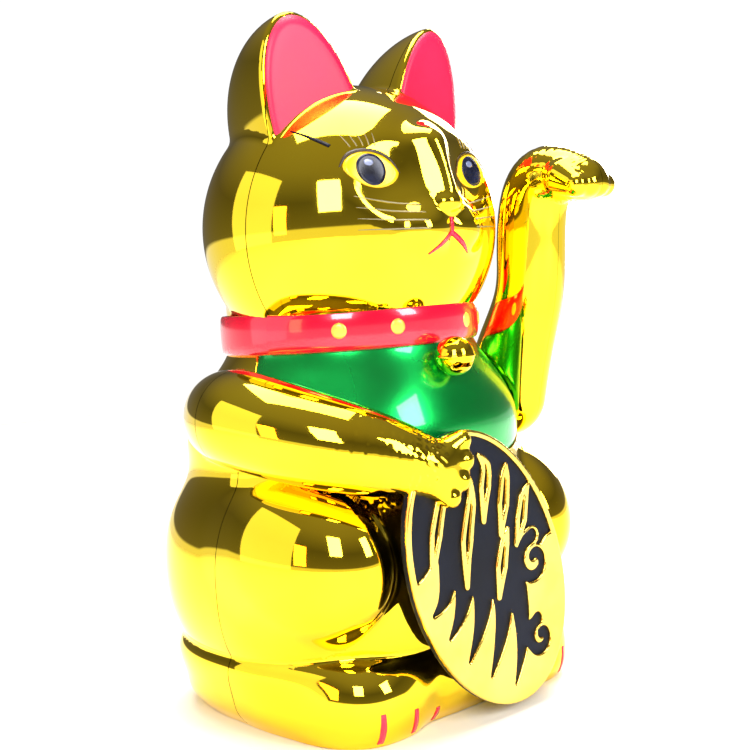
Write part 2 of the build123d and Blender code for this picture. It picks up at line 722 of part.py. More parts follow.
def main():
    os.makedirs("parts", exist_ok=True)
    front, back = shells()
    outer, inner = arm_halves()
    red, black, switch = leads()
    front_collar = collar_half(True)
    for stud in collar_studs(0.05):
        front_collar -= stud
    nodes = {
        "front_shell": front,
        "back_shell": back,
        "base_plate": base_plate(),
        "battery_door": battery_door(),
        "base_screws": screws_z(BOSS_POINTS, 0.2, 6.0, 1.15, 1),
        "collar_front": front_collar,
        "collar_back": collar_half(False),
        "collar_studs": Compound(children=collar_studs(0)),
        "bell": bell(),
        "bib": bib(),
        "koban": koban(),
        "ear_lining_left": ear_lining(1),
        "ear_lining_right": ear_lining(-1),
        "eye_left": eye_film(1),
        "eye_right": eye_film(-1),
        "arm_outer_half": outer,
        "arm_inner_half": inner,
        "arm_axle": rod_x(AXLE_RADIUS, AXLE_START_X, AXLE_END_X, PIVOT_Y, PIVOT_Z),
        "axle_clips": axle_clips(),
        "shoulder_bush": shoulder_bush(),
        "arm_bracket": arm_bracket(),
        "bracket_screws": screws_y([(LEVER_X, z) for z in BRACKET_POST_Z], 4.8, 9.0, 1.1),
        "pendulum_lever": lever(),
        "counterweight": counterweight(),
        "magnet": magnet(),
        "battery_1": battery(CELL_X[0]),
        "battery_2": battery(CELL_X[1]),
        "contact_springs": contact_springs(),
        "contact_tabs": contact_tabs(),
        "contact_bridge": contact_bridge(),
        "circuit_board": circuit_board(),
        "board_screws": screws_z(board_points(), BOARD_TOP + 1.3, 4.0, 0.95, -1),
        "coil_bobbin": coil_bobbin(),
        "coil_winding": coil_winding(),
        "transistor": transistor(),
        "capacitor": capacitor(),
        "resistor": resistor(),
        "switch_body": switch_body(),
        "switch_slider": switch_slider(),
        "lead_red": red,
        "lead_black": black,
        "lead_switch": switch,
    }
    for name, solid in nodes.items():
        export_step(solid, f"parts/{name}.step")


main()
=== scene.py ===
import json
import math

import bmesh
import bpy
import numpy as np
from mathutils import Matrix, Vector


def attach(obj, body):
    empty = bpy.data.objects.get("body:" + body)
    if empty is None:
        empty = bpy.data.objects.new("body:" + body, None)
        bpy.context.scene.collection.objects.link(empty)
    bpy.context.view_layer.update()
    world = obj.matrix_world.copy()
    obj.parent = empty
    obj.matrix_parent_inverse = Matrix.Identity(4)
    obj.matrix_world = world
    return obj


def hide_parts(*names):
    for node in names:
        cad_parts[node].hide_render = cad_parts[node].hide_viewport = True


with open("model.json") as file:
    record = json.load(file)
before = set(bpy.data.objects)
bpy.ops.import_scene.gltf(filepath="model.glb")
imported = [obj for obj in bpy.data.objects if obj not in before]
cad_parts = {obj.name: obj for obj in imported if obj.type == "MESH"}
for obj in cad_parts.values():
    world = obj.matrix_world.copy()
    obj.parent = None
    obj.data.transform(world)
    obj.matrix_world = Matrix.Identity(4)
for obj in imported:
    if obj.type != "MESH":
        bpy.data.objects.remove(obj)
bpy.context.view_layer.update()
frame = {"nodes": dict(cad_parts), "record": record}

# The gold mouldings are made as smooth distance fields in millimetres, meshed on a grid,
# pulled on to the exact surface, then cut at the parting planes. The cat faces -Y.
MM = 0.001
COARSE = 1.0
WALL = 1.8
SEAM_Y = 1.5
SEAM_LEAN = math.radians(5.1)
SEAM_GAP = 0.3

HEAD = np.array([0.0, -3.0, 139.5])
HEAD_RADII = np.array([45.5, 41.5, 42.5])
EAR = np.array([20.5, -16.0, 166.0])
EAR_RADII = np.array([15.5, 36.0, 34.0])
EAR_LEAN = math.radians(14)
EAR_FACE = np.array([28.0, -16.0, 180.0])
EAR_TURN = math.radians(9.6)

# Carved shapes of the head and lower body, given for the +X half and mirrored
BRIDGE_TOP = np.array([0.0, -38.8, 160.0])
BRIDGE_END = np.array([0.0, -43.6, 146.5])
SOCKET = np.array([18.5, -52.0, 154.5])
SOCKET_RADIUS = 15.6
CHEEK = np.array([6.3, -40.2, 136.5])
CHEEK_RADII = np.array([8.6, 6.6, 6.6])
NOSE = np.array([0.0, -45.0, 143.6])
NOSE_RADII = np.array([4.4, 3.2, 2.7])
HAUNCH = np.array([36.0, -10.5, 47.5])
HAUNCH_RADII = np.array([22.2, 36.5, 27.0])
FOOT = np.array([29.0, -14.5, 9.5])
FOOT_RADII = np.array([20.6, 31.0, 17.0])
FOOT_POWER = 2.5

# The shoulder pocket and the waving arm, which turns about an axle along X
PIVOT_Y = -17.0
PIVOT_Z = 88.0
POCKET_X = 38.0
POCKET_BACK_Y = 0.5
POCKET_RADIUS = 17.5
AXLE_HOLE_RADIUS = 4.3
AXLE_HOLE_X = 30.0
ARM_X = 48.5
ARM_HALF_THICK = 9.6
ARM_POWER = 2.2
ARM_SEAM_GAP = 0.07
TOE_SPACING = 4.1

COLLAR_Y = 1.7
COLLAR_LOW = 104.8
COLLAR_HIGH = 116.4
COLLAR_RADIUS = 38.7
COLLAR_INNER = 37.1
COLLAR_STEPS = 121
FRONT_BAND_PROUD = 1.0
STUD_TURNS = (-44, -20, 20, 44)
STUD_RADIUS = 2.4
STUD_RISE = 0.42
STUD_SIDES = 24
STUD_RINGS = 6
BELL = np.array([0.0, -43.2, 101.1])
BELL_RADIUS = 5.6
BELL_INNER = 4.7
BELL_SLOT_HALF = 3.1
BELL_SLOT_DROP = 2.4
BIB_HALF_ANGLE = math.radians(84)
BIB_BOTTOM = 70.8
BIB_THICK = 0.62
KOBAN_CENTRE = np.array([-1.5, -50.3, 42.3])
KOBAN_TILT = math.radians(-23.6)
KOBAN_HALF = np.array([28.0, 41.5])
KOBAN_FACE = 2.2
OUTLINE = 0.8

# Printed face: the eyes, and how far each film lies off the gold. The pale spot on each pupil is not print
# but a painted highlight.
EYE_X = 19.3
EYE_Z = 153.2
EYE_LIFT = 0.14
PUPIL_LIFT = 0.24
GLINT_LIFT = 0.3
LID_LIFT = 0.22
LASH_LIFT = 0.16
BROW_LIFT = 0.18
WHISKER_LIFT = 0.14
MOUTH_LIFT = 0.2
TOE_LIFT = 0.14

# Camera place in metres from the cat's axis, and its turn
VIEW_TURN = math.radians(40.5)
VIEW_DISTANCE = 0.370
VIEW_HEIGHT = 0.12075
VIEW_PITCH = math.radians(3.95)
VIEW_YAW = math.radians(0.94)
VIEW_ROLL = math.radians(-4.14)
LENS_MM = 58.24

# Level sections: height, half width, half depth, centre y, squareness power
BODY_SECTIONS = np.array([
    (-6.0, 46.0, 42.0, 4.8, 2.3),
    (14.0, 47.0, 43.5, 5.2, 2.3),
    (19.5, 52.0, 48.3, 5.0, 2.3),
    (27.0, 55.8, 51.5, 4.8, 2.35),
    (44.0, 58.0, 53.6, 4.4, 2.35),
    (60.0, 54.8, 51.3, 4.0, 2.3),
    (70.5, 50.3, 47.3, 3.8, 2.2),
    (80.0, 50.0, 47.0, 3.2, 2.2),
    (90.0, 47.5, 44.5, 2.8, 2.1),
    (98.0, 42.5, 40.5, 2.2, 2.0),
    (105.0, 37.2, 37.0, 1.7, 2.0),
    (116.0, 36.4, 36.4, 1.7, 2.0),
    (124.0, 36.4, 36.4, 1.7, 2.0),
])
BAND_SECTIONS = np.array([
    (-6.0, 44.5, 40.0, 5.0, 2.6),
    (0.0, 48.0, 44.3, 5.0, 2.6),
    (3.0, 50.8, 47.2, 5.0, 2.6),
    (9.0, 53.3, 49.4, 5.0, 2.5),
    (16.0, 54.8, 50.8, 5.0, 2.5),
    (20.0, 54.2, 50.2, 5.0, 2.5),
    (26.0, 48.0, 44.0, 5.0, 2.5),
    (40.0, 30.0, 28.0, 5.0, 2.3),
])
# Limb stations: centre line point, then radius
FIXED_ARM = np.array([
    (-44.0, 4.0, 88.0, 13.5),
    (-50.0, -12.0, 88.0, 13.6),
    (-45.5, -29.0, 84.0, 13.0),
    (-36.0, -41.0, 79.5, 11.8),
    (-26.0, -47.5, 75.5, 9.8),
    (-19.5, -50.5, 73.0, 7.6),
])
FINGER_TIPS = np.array([
    (-11.4, -54.4, 79.4),
    (-11.8, -55.4, 74.2),
    (-13.8, -55.8, 69.2),
    (-17.6, -55.4, 65.2),
])
FINGER_ROOT = np.array([-22.0, -50.0, 73.0])
# The waving arm lies in a plane of constant x, so its stations are y, z and radius
WAVING_ARM = np.array([
    (-17.0, 86.0, 14.5),
    (-22.0, 99.0, 13.0),
    (-29.0, 115.0, 10.8),
    (-31.5, 130.0, 10.9),
    (-34.0, 144.5, 10.5),
    (-41.0, 151.5, 9.4),
    (-51.0, 150.3, 7.2),
    (-54.0, 149.2, 6.2),
])


# ---------- distance fields ----------

def spline(xs, ys, query):
    """A natural cubic spline through the rows of ys, read at query."""
    n = len(xs)
    h = np.diff(xs)
    system = np.zeros((n, n))
    right = np.zeros((n,) + ys.shape[1:])
    system[0, 0] = 1.0
    system[-1, -1] = 1.0
    slope = np.diff(ys, axis=0) / (h[:, None] if ys.ndim > 1 else h)
    for i in range(1, n - 1):
        system[i, i - 1] = h[i - 1]
        system[i, i] = 2 * (h[i - 1] + h[i])
        system[i, i + 1] = h[i]
        right[i] = 6 * (slope[i] - slope[i - 1])
    second = np.linalg.solve(system, right)
    query = np.clip(query, xs[0], xs[-1])
    k = np.clip(np.searchsorted(xs, query) - 1, 0, n - 2)
    t = query - xs[k]
    if ys.ndim > 1:
        t = t[:, None]
        hk = h[k][:, None]
    else:
        hk = h[k]
    cubic = (second[k + 1] - second[k]) / (6 * hk)
    linear = slope[k] - hk * (2 * second[k] + second[k + 1]) / 6
    return ys[k] + t * (linear + t * (second[k] / 2 + t * cubic))


def smooth_min(a, b, k):
    h = np.clip(0.5 + 0.5 * (b - a) / k, 0, 1)
    return b + (a - b) * h - k * h * (1 - h)


def smooth_max(a, b, k):
    return -smooth_min(-a, -b, k)


def stack(p, sections):
    """A body whose level sections are superellipses."""
    fine = np.linspace(sections[0, 0], sections[-1, 0], 400)
    table = spline(sections[:, 0], sections[:, 1:], fine)
    z = np.clip(p[:, 2], fine[0], fine[-1])
    width = np.interp(z, fine, table[:, 0])
    depth = np.interp(z, fine, table[:, 1])
    middle = np.interp(z, fine, table[:, 2])
    power = np.interp(z, fine, table[:, 3])
    x = np.abs(p[:, 0])
    y = np.abs(p[:, 1] - middle)
    g = ((x / width) ** power + (y / depth) ** power) ** (1 / power)
    radius = np.sqrt(x * x + y * y)
    side = radius * (1 - 1 / np.maximum(g, 1e-3))
    side = np.where(g < 0.05, -width, side)
    return np.maximum(side, p[:, 2] - sections[-1, 0])


def ellipsoid(p, centre, radii):
    q = (p - centre) / radii
    k0 = np.linalg.norm(q, axis=1)
    k1 = np.linalg.norm(q / radii, axis=1)
    return k0 * (k0 - 1) / np.maximum(k1, 1e-6)


def boxy_ellipsoid(p, centre, radii, power):
    q = np.abs(p - centre)
    g = (((q / radii) ** power).sum(axis=1)) ** (1 / power)
    return np.linalg.norm(q, axis=1) * (1 - 1 / np.maximum(g, 0.05))


def round_cone(p, a, b, ra, rb):
    ba = b - a
    pa = p - a
    h = np.clip(pa @ ba / (ba @ ba), 0, 1)
    return np.linalg.norm(pa - h[:, None] * ba, axis=1) - (ra + (rb - ra) * h)


def nearest_on_line(q, stations, steps):
    """The centre line point and radius nearest to each q. The last column of stations is the radius."""
    places = np.arange(len(stations), dtype=float)
    path = spline(places, stations, np.linspace(0, places[-1], steps))
    best = np.full(len(q), 1e3)
    u = np.zeros(len(q))
    for k in range(steps - 1):
        ba = path[k + 1, :-1] - path[k, :-1]
        pa = q - path[k, :-1]
        h = np.clip(pa @ ba / (ba @ ba), 0, 1)
        radius = path[k, -1] + (path[k + 1, -1] - path[k, -1]) * h
        d = np.linalg.norm(pa - h[:, None] * ba, axis=1) - radius
        closer = d < best
        best = np.where(closer, d, best)
        u = np.where(closer, (k + h) * places[-1] / (steps - 1), u)
    reach = 0.02
    for _ in range(2):
        spot = spline(places, stations, u)[:, :-1]
        along = spline(places, stations, u + reach) - spline(places, stations, u - reach)
        along = along[:, :-1] / (2 * reach)
        move = ((q - spot) * along).sum(axis=1) / np.maximum((along ** 2).sum(axis=1), 1e-6)
        u = np.clip(u + np.clip(move, -0.1, 0.1), 0, places[-1])
    return spline(places, stations, u)


def tube(p, stations, steps):
    """A round limb along a smooth centre line."""
    margin = stations[:, 3].max() + 6
    low = stations[:, :3].min(0) - margin
    high = stations[:, :3].max(0) + margin
    outside = np.maximum(np.maximum(low - p, p - high), 0)
    d = np.linalg.norm(outside, axis=1) + 6
    near = np.all(outside == 0, axis=1)
    spot = nearest_on_line(p[near], stations, steps)
    d[near] = np.linalg.norm(p[near] - spot[:, :3], axis=1) - spot[:, 3]
    return d


def ear_frame(p):
    """Points in the ear's own frame: leaned about Y, for the +X ear."""
    c = math.cos(EAR_LEAN)
    s = math.sin(EAR_LEAN)
    v = p - EAR
    return np.stack([c * v[:, 0] - s * v[:, 2], v[:, 1], s * v[:, 0] + c * v[:, 2]], axis=1)


def ear_face_depth(p):
    """How far a point lies in front of the flat ear face, for the +X ear."""
    v = p - EAR_FACE
    return -(-math.sin(EAR_TURN) * v[:, 0] + math.cos(EAR_TURN) * v[:, 1])


def head(p):
    """The head with its ears, eye sockets, nose bridge, nose and cheeks."""
    d = ellipsoid(p, HEAD, HEAD_RADII)
    sym = p.copy()
    sym[:, 0] = np.abs(p[:, 0])
    bridge = round_cone(sym, BRIDGE_TOP, BRIDGE_END, 4.2, 3.2)
    d = smooth_min(d, bridge, 7.0)
    socket = np.linalg.norm(sym - SOCKET, axis=1) - SOCKET_RADIUS
    d = smooth_max(d, -socket, 6.0)
    d = smooth_min(d, ellipsoid(sym, CHEEK, CHEEK_RADII), 3.0)
    d = smooth_min(d, ellipsoid(sym, NOSE, NOSE_RADII), 1.2)
    ear_points = ear_frame(sym)
    lump = ellipsoid(ear_points, np.zeros(3), EAR_RADII)
    lump = smooth_max(lump, ear_face_depth(sym), 1.6)
    return smooth_min(d, lump, 1.6)


def lower_body(p):
    """The seated body, the haunches, and the band of the base with the feet."""
    upper = stack(p, BODY_SECTIONS)
    band = stack(p, BAND_SECTIONS)
    sym = p.copy()
    sym[:, 0] = np.abs(p[:, 0])
    upper = smooth_min(upper, ellipsoid(sym, HAUNCH, HAUNCH_RADII), 1.6)
    band = smooth_min(band, boxy_ellipsoid(sym, FOOT, FOOT_RADII, FOOT_POWER), 4.0)
    return smooth_min(upper, band, 1.3)


def fixed_arm(p):
    """The arm that holds the plate, with its four toes."""
    d = tube(p, FIXED_ARM, 30)
    for tip in FINGER_TIPS:
        knuckle = FINGER_ROOT + (tip - FINGER_ROOT) * 0.45
        finger = round_cone(p, knuckle, tip, 4.6, 3.0)
        d = smooth_min(d, finger, 1.6)
    return d


def from_axle(p):
    return np.sqrt((p[:, 1] - PIVOT_Y) ** 2 + (p[:, 2] - PIVOT_Z) ** 2)


def pocket(p):
    """The space cut out of the shoulder for the waving arm."""
    hub = from_axle(p) - POCKET_RADIUS
    above = np.maximum(PIVOT_Z - p[:, 2], p[:, 1] - POCKET_BACK_Y)
    return smooth_max(np.minimum(hub, above), POCKET_X - p[:, 0], 1.0)


def body(p):
    """The whole gold moulding, with the shoulder pocket and the axle's hole."""
    d = smooth_min(lower_body(p), head(p), 0.8)
    d = smooth_min(d, fixed_arm(p), 1.0)
    d = smooth_max(d, -pocket(p), 1.0)
    hole = np.maximum(from_axle(p) - AXLE_HOLE_RADIUS, AXLE_HOLE_X - p[:, 0])
    return smooth_max(d, -hole, 0.4)


def waving_arm(p):
    """The raised arm: a flattened limb with a bent paw, in a plane of constant x."""
    spot = nearest_on_line(p[:, 1:], WAVING_ARM, 46)
    across = np.abs(p[:, 0] - ARM_X)
    away = np.linalg.norm(p[:, 1:] - spot[:, :2], axis=1)
    radius = spot[:, 2]
    half = np.minimum(radius, ARM_HALF_THICK)
    g = ((across / half) ** ARM_POWER + (away / radius) ** ARM_POWER) ** (1 / ARM_POWER)
    best = np.sqrt(across ** 2 + away ** 2) * (1 - 1 / np.maximum(g, 0.03))
    for step in range(4):
        offset = (step - 1.5) * TOE_SPACING
        start = np.array([ARM_X + offset * 0.8, -50.0, 150.2])
        tip = np.array([ARM_X + offset, -57.6 + 0.3 * abs(offset), 147.4])
        best = smooth_min(best, round_cone(p, start, tip, 5.6, 3.6), 1.3)
    return best


# ---------- meshing ----------

def sample(field, low, high, step):
    """Field values on a grid. Far from the surface a coarse value stands in."""
    counts = np.ceil((np.array(high) - low) / step).astype(int) + 1
    axes = [low[i] + step * np.arange(counts[i]) for i in range(3)]
    skip = 4
    rough_axes = [low[i] + step * skip * np.arange(counts[i] // skip + 2) for i in range(3)]
    grid = np.stack(np.meshgrid(*rough_axes, indexing="ij"), axis=-1)
    rough = field(grid.reshape(-1, 3)).reshape(grid.shape[:3])
    nearest = []
    for i in range(3):
        spot = (np.arange(counts[i]) + skip // 2) // skip
        nearest.append(np.clip(spot, 0, rough.shape[i] - 1))
    values = rough[np.ix_(*nearest)].copy()
    close = np.abs(values) < step * skip * 1.5
    spots = np.argwhere(close)
    points = np.stack([axes[i][spots[:, i]] for i in range(3)], axis=1)
    values[close] = field(points)
    return values, np.array(low, float)


def surface_net(values, low, step):
    """Dual mesh of the zero surface: one vertex in each crossed cell, one quad for each crossed edge."""
    inside = values < 0
    cells = np.zeros(np.array(values.shape) - 1, int)
    corners = [(i, j, k) for i in (0, 1) for j in (0, 1) for k in (0, 1)]
    for i, j, k in corners:
        shape = cells.shape
        cells += inside[i:i + shape[0], j:j + shape[1], k:k + shape[2]]
    crossed = (cells > 0) & (cells < 8)
    index = np.full(cells.shape, -1, int)
    spots = np.argwhere(crossed)
    index[crossed] = np.arange(len(spots))
    total = np.zeros((len(spots), 3))
    count = np.zeros(len(spots))
    for a in corners:
        for axis in range(3):
            if a[axis]:
                continue
            b = list(a)
            b[axis] = 1
            va = values[tuple((spots + a).T)]
            vb = values[tuple((spots + b).T)]
            cut = (va < 0) != (vb < 0)
            t = np.where(cut, va / np.where(cut, va - vb, 1), 0)
            where = np.array(a, float) + t[:, None] * (np.array(b) - a)
            total[cut] += where[cut]
            count[cut] += 1
    verts = low + step * (spots + total / count[:, None])
    quads = []
    for axis in range(3):
        u = (axis + 1) % 3
        v = (axis + 2) % 3
        first = [slice(None)] * 3
        second = [slice(None)] * 3
        first[axis] = slice(0, -1)
        second[axis] = slice(1, None)
        va = inside[tuple(first)]
        vb = inside[tuple(second)]
        edge = np.argwhere(va != vb)
        edge = edge[(edge[:, u] > 0) & (edge[:, v] > 0)]
        edge = edge[(edge[:, u] < cells.shape[u]) & (edge[:, v] < cells.shape[v])]
        du = np.zeros(3, int)
        dv = np.zeros(3, int)
        du[u] = 1
        dv[v] = 1
        ring = [index[tuple((edge - s * du - t * dv).T)] for s, t in ((0, 0), (1, 0), (1, 1), (0, 1))]
        quad = np.stack(ring, axis=1)
        flip = ~va[tuple(edge.T)]
        quad[flip] = quad[flip][:, ::-1]
        quads.append(quad)
    return verts, np.concatenate(quads)


def gradient(field, points, reach=0.2):
    parts = []
    for axis in range(3):
        step = np.zeros(3)
        step[axis] = reach
        parts.append(field(points + step) - field(points - step))
    return np.stack(parts, axis=1) / (2 * reach)


def solid_mesh(field, low, high, step, rounds=2):
    """Vertices and outward quads of a closed field, pulled on to its exact surface."""
    values, origin = sample(field, np.array(low, float), np.array(high, float), step)
    verts, quads = surface_net(values, origin, step)
    for _ in range(rounds):
        slope = gradient(field, verts)
        size = np.maximum((slope ** 2).sum(axis=1), 0.2)
        move = field(verts)[:, None] * slope / size[:, None]
        verts = verts - np.clip(move, -0.6 * step, 0.6 * step)
    return verts, quads


def make_object(name, verts, faces):
    """A smooth shaded object from points in millimetres."""
    mesh = bpy.data.meshes.new(name)
    if not isinstance(faces, list):
        faces = faces.tolist()
    mesh.from_pydata((np.asarray(verts) * MM).tolist(), [], faces)
    mesh.update()
    obj = bpy.data.objects.new(name, mesh)
    bpy.context.scene.collection.objects.link(obj)
    for poly in mesh.polygons:
        poly.use_smooth = True
    return obj


def cut(bm, point, normal):
    """Cut away the side the normal points to, and close the cut with flat faces."""
    geom = bm.verts[:] + bm.edges[:] + bm.faces[:]
    result = bmesh.ops.bisect_plane(
        bm, geom=geom, dist=1e-7, plane_co=point, plane_no=normal, clear_outer=True)
    edges = [e for e in result["geom_cut"] if isinstance(e, bmesh.types.BMEdge)]
    bmesh.ops.triangle_fill(bm, use_beauty=True, use_dissolve=False, edges=edges, normal=normal)


def shell_object(name, outer, inner, planes, field):
    """A thin moulding between an outer and an inner surface, cut by planes."""
    bm = bmesh.new()
    for verts, quads, flip in ((outer[0], outer[1], False), (inner[0], inner[1], True)):
        made = [bm.verts.new(v) for v in (verts * MM).tolist()]
        for quad in quads.tolist():
            ring = [made[i] for i in (reversed(quad) if flip else quad)]
            if len(set(ring)) > 2:
                bm.faces.new(ring)
    for point, normal in planes:
        cut(bm, Vector(point) * MM, Vector(normal))
    mesh = bpy.data.meshes.new(name)
    bm.to_mesh(mesh)
    bm.free()
    obj = bpy.data.objects.new(name, mesh)
    bpy.context.scene.collection.objects.link(obj)
    set_normals(mesh, field, planes)
    return obj


def set_normals(mesh, field, planes):
    """Exact surface normals on the curved faces, plane normals on the cut faces."""
    co = np.zeros(len(mesh.vertices) * 3)
    mesh.vertices.foreach_get("co", co)
    co = co.reshape(-1, 3) / MM
    value = field(co)
    slope = gradient(field, co)
    slope /= np.maximum(np.linalg.norm(slope, axis=1), 1e-6)[:, None]
    outer = np.abs(value) < 0.5 * WALL
    slope[~outer] *= -1
    on_plane = []
    for point, normal in planes:
        n = np.array(normal) / np.linalg.norm(normal)
        on_plane.append((np.abs((co - point) @ n) < 1e-3, n))
    normals = np.zeros((len(mesh.loops), 3))
    loop_verts = np.zeros(len(mesh.loops), int)
    mesh.loops.foreach_get("vertex_index", loop_verts)
    normals[:] = slope[loop_verts]
    for poly in mesh.polygons:
        poly.use_smooth = True
        spots = list(poly.vertices)
        for flags, n in on_plane:
            if all(flags[i] for i in spots):
                normals[poly.loop_start:poly.loop_start + poly.loop_total] = n
    mesh.normals_split_custom_set(normals.tolist())


def seam_plane(side):
    """Point and outward normal of the parting face on the front (-1) or back (1) half."""
    normal = (0.0, -side * math.cos(SEAM_LEAN), -side * math.sin(SEAM_LEAN))
    point = (0.0, SEAM_Y + side * SEAM_GAP / 2, 0.0)
    return point, normal


# ---------- materials ----------

def srgb(r, g, b):
    """A display colour, 0 to 255, as linear values."""
    out = []
    for c in (r, g, b):
        c = c / 255
        out.append(c / 12.92 if c < 0.04045 else ((c + 0.055) / 1.055) ** 2.4)
    return (*out, 1.0)


def material(name, colour, second, roughness, metallic=0.0, grain=40.0, bump=0.02, coat=0.0,
             spread=0.05, specular=0.5):
    """A surface with a fine colour drift, uneven polish and a slight moulded ripple."""
    mat = bpy.data.materials.new(name)
    mat.use_nodes = True
    nodes = mat.node_tree.nodes
    links = mat.node_tree.links
    shader = nodes["Principled BSDF"]
    shader.inputs["Specular IOR Level"].default_value = specular
    shader.inputs["Metallic"].default_value = metallic
    shader.inputs["Coat Weight"].default_value = coat
    shader.inputs["Coat Roughness"].default_value = 0.05
    place = nodes.new("ShaderNodeTexCoord")
    drift = nodes.new("ShaderNodeTexNoise")
    drift.inputs["Scale"].default_value = grain
    drift.inputs["Detail"].default_value = 4.0
    links.new(place.outputs["Object"], drift.inputs["Vector"])
    ramp = nodes.new("ShaderNodeValToRGB")
    ramp.color_ramp.elements[0].position = 0.35
    ramp.color_ramp.elements[0].color = second
    ramp.color_ramp.elements[1].position = 0.65
    ramp.color_ramp.elements[1].color = colour
    links.new(drift.outputs["Fac"], ramp.inputs["Fac"])
    links.new(ramp.outputs["Color"], shader.inputs["Base Color"])
    polish = nodes.new("ShaderNodeMapRange")
    polish.inputs["To Min"].default_value = max(roughness - spread, 0.0)
    polish.inputs["To Max"].default_value = roughness + spread
    links.new(drift.outputs["Fac"], polish.inputs["Value"])
    links.new(polish.outputs["Result"], shader.inputs["Roughness"])
    fine = nodes.new("ShaderNodeTexNoise")
    fine.inputs["Scale"].default_value = grain * 12
    fine.inputs["Detail"].default_value = 3.0
    links.new(place.outputs["Object"], fine.inputs["Vector"])
    ripple = nodes.new("ShaderNodeBump")
    ripple.inputs["Strength"].default_value = bump
    ripple.inputs["Distance"].default_value = 0.0002
    links.new(fine.outputs["Fac"], ripple.inputs["Height"])
    links.new(ripple.outputs["Normal"], shader.inputs["Normal"])
    return mat


GOLD = material("gold_metallised", (1.0, 0.74, 0.035, 1), (1.0, 0.68, 0.025, 1),
                0.045, 1.0, 25, 0.012, spread=0.012)
GOLD_TRIM = material("gold_trim", (1.0, 0.74, 0.16, 1), (0.9, 0.6, 0.1, 1), 0.16, 1.0, 60, 0.03)
RED = material("red_lacquer", srgb(240, 10, 58), srgb(222, 4, 46), 0.2, 0.25, 30, 0.01, 0.8)
GREEN = material("green_lacquer", srgb(0, 190, 80), srgb(0, 160, 66), 0.27, 0.85, 30, 0.01, 0.6)
DOT_GOLD = material("dot_gold", srgb(250, 214, 100), srgb(236, 190, 70), 0.3, 0.35, 60, 0.03)
EAR_RED = material("ear_red", srgb(255, 22, 74), srgb(250, 14, 66), 0.42, 0.0, 60, 0.05)
NAVY = material("navy_print", (0.004, 0.006, 0.016, 1), (0.002, 0.003, 0.008, 1),
                0.42, 0.0, 50, 0.06, specular=0.15)
PUPIL = material("pupil_print", srgb(30, 36, 62), srgb(10, 12, 26),
                 0.22, 0.0, 220, 0.01, specular=0.3)
# Painted highlight: a pale blue-grey spot that stands in for the reflection on each glossy pupil
PUPIL_PAINTED_GLINT = material("pupil_painted_glint", srgb(120, 130, 165), srgb(90, 100, 140), 0.2, 0.0, 80, 0.01, 1.0)
YELLOW = material("eye_yellow", srgb(246, 208, 22), srgb(238, 190, 12), 0.3, 0.1, 60, 0.02)
LINE_DARK = material("print_dark", srgb(60, 42, 16), srgb(44, 30, 10), 0.35, 0.0, 90, 0.02)
LINE_GREY = material("print_grey", srgb(150, 140, 100), srgb(120, 112, 78), 0.35, 0.3, 90, 0.02)
LINE_RED = material("print_red", srgb(236, 30, 70), srgb(220, 20, 56), 0.3, 0.0, 90, 0.02, 0.3)


def give(obj, mat):
    obj.data.materials.clear()
    obj.data.materials.append(mat)


# Finish of each class: roughness, metallic, grain, bump
INNER_MATERIALS = {
    "matte_plastic": (0.55, 0.0, 40, 0.25),
    "gloss_plastic": (0.22, 0.0, 40, 0.05),
    "brushed_steel": (0.3, 1.0, 90, 0.15),
    "brass": (0.3, 1.0, 220, 0.3),
    "painted_metal": (0.3, 0.2, 50, 0.08),
}


def dress_inner_nodes():
    """A procedural finish on every CAD node, from the class and colour of its slot."""
    record = frame["record"]
    slots = {m["slot"]: m for m in record["materials"]}
    made = {}
    for part in record["subparts"]:
        slot = slots[part["material_slot"]]
        if slot["slot"] not in made:
            rough, metal, grain, bump = INNER_MATERIALS.get(slot["class"], (0.5, 0.0, 40, 0.1))
            colour = tuple(slot["base_color"][:3]) + (1.0,)
            darker = tuple(c * 0.82 for c in slot["base_color"][:3]) + (1.0,)
            made[slot["slot"]] = material("cad_" + slot["slot"], colour, darker, rough, metal, grain, bump)
        give(frame["nodes"][part["node"]], made[slot["slot"]])


# ---------- the gold mouldings ----------

def build_body():
    """The front and back mouldings, one thin shell parted at the leaning seam."""
    outer = solid_mesh(body, (-68, -64, -5), (62, 62, 203), COARSE)
    inner = solid_mesh(lambda p: body(p) + WALL, (-66, -62, -5), (60, 60, 202), 2.0, rounds=1)
    floor = ((0.0, 0.0, 0.0), (0.0, 0.0, -1.0))
    for name, side in (("front_moulding", -1), ("back_moulding", 1)):
        obj = shell_object(name, outer, inner, [floor, seam_plane(side)], body)
        give(obj, GOLD)
        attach(obj, "body")
        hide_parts("front_shell" if side < 0 else "back_shell")


def build_arm():
    """The waving arm's two halves, parted in the plane of its swing."""
    low = (36, -70, 68)
    high = (61, 2, 165)
    outer = solid_mesh(waving_arm, low, high, 0.8)
    inner = solid_mesh(lambda p: waving_arm(p) + WALL, low, high, 1.4, rounds=1)
    for name, side in (("arm_outer_moulding", 1), ("arm_inner_moulding", -1)):
        plane = ((ARM_X + side * ARM_SEAM_GAP, 0.0, 0.0), (-float(side), 0.0, 0.0))
        obj = shell_object(name, outer, inner, [plane], waving_arm)
        give(obj, GOLD)
        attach(obj, "waving_arm")
        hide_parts("arm_outer_half" if side > 0 else "arm_inner_half")


# ---------- printed details, and the pupils' painted highlights, that follow the surface ---

def on_front(points, field, lift):
    """Carry (x, z) points straight back on to the front of a surface, and lift them off it."""
    p = np.stack([points[:, 0], np.full(len(points), -64.0), points[:, 1]], axis=1)
    for _ in range(60):
        p[:, 1] += np.clip(field(p), -4, 4) * 0.9
    slope = gradient(field, p)
    slope /= np.linalg.norm(slope, axis=1)[:, None]
    return p + slope * lift


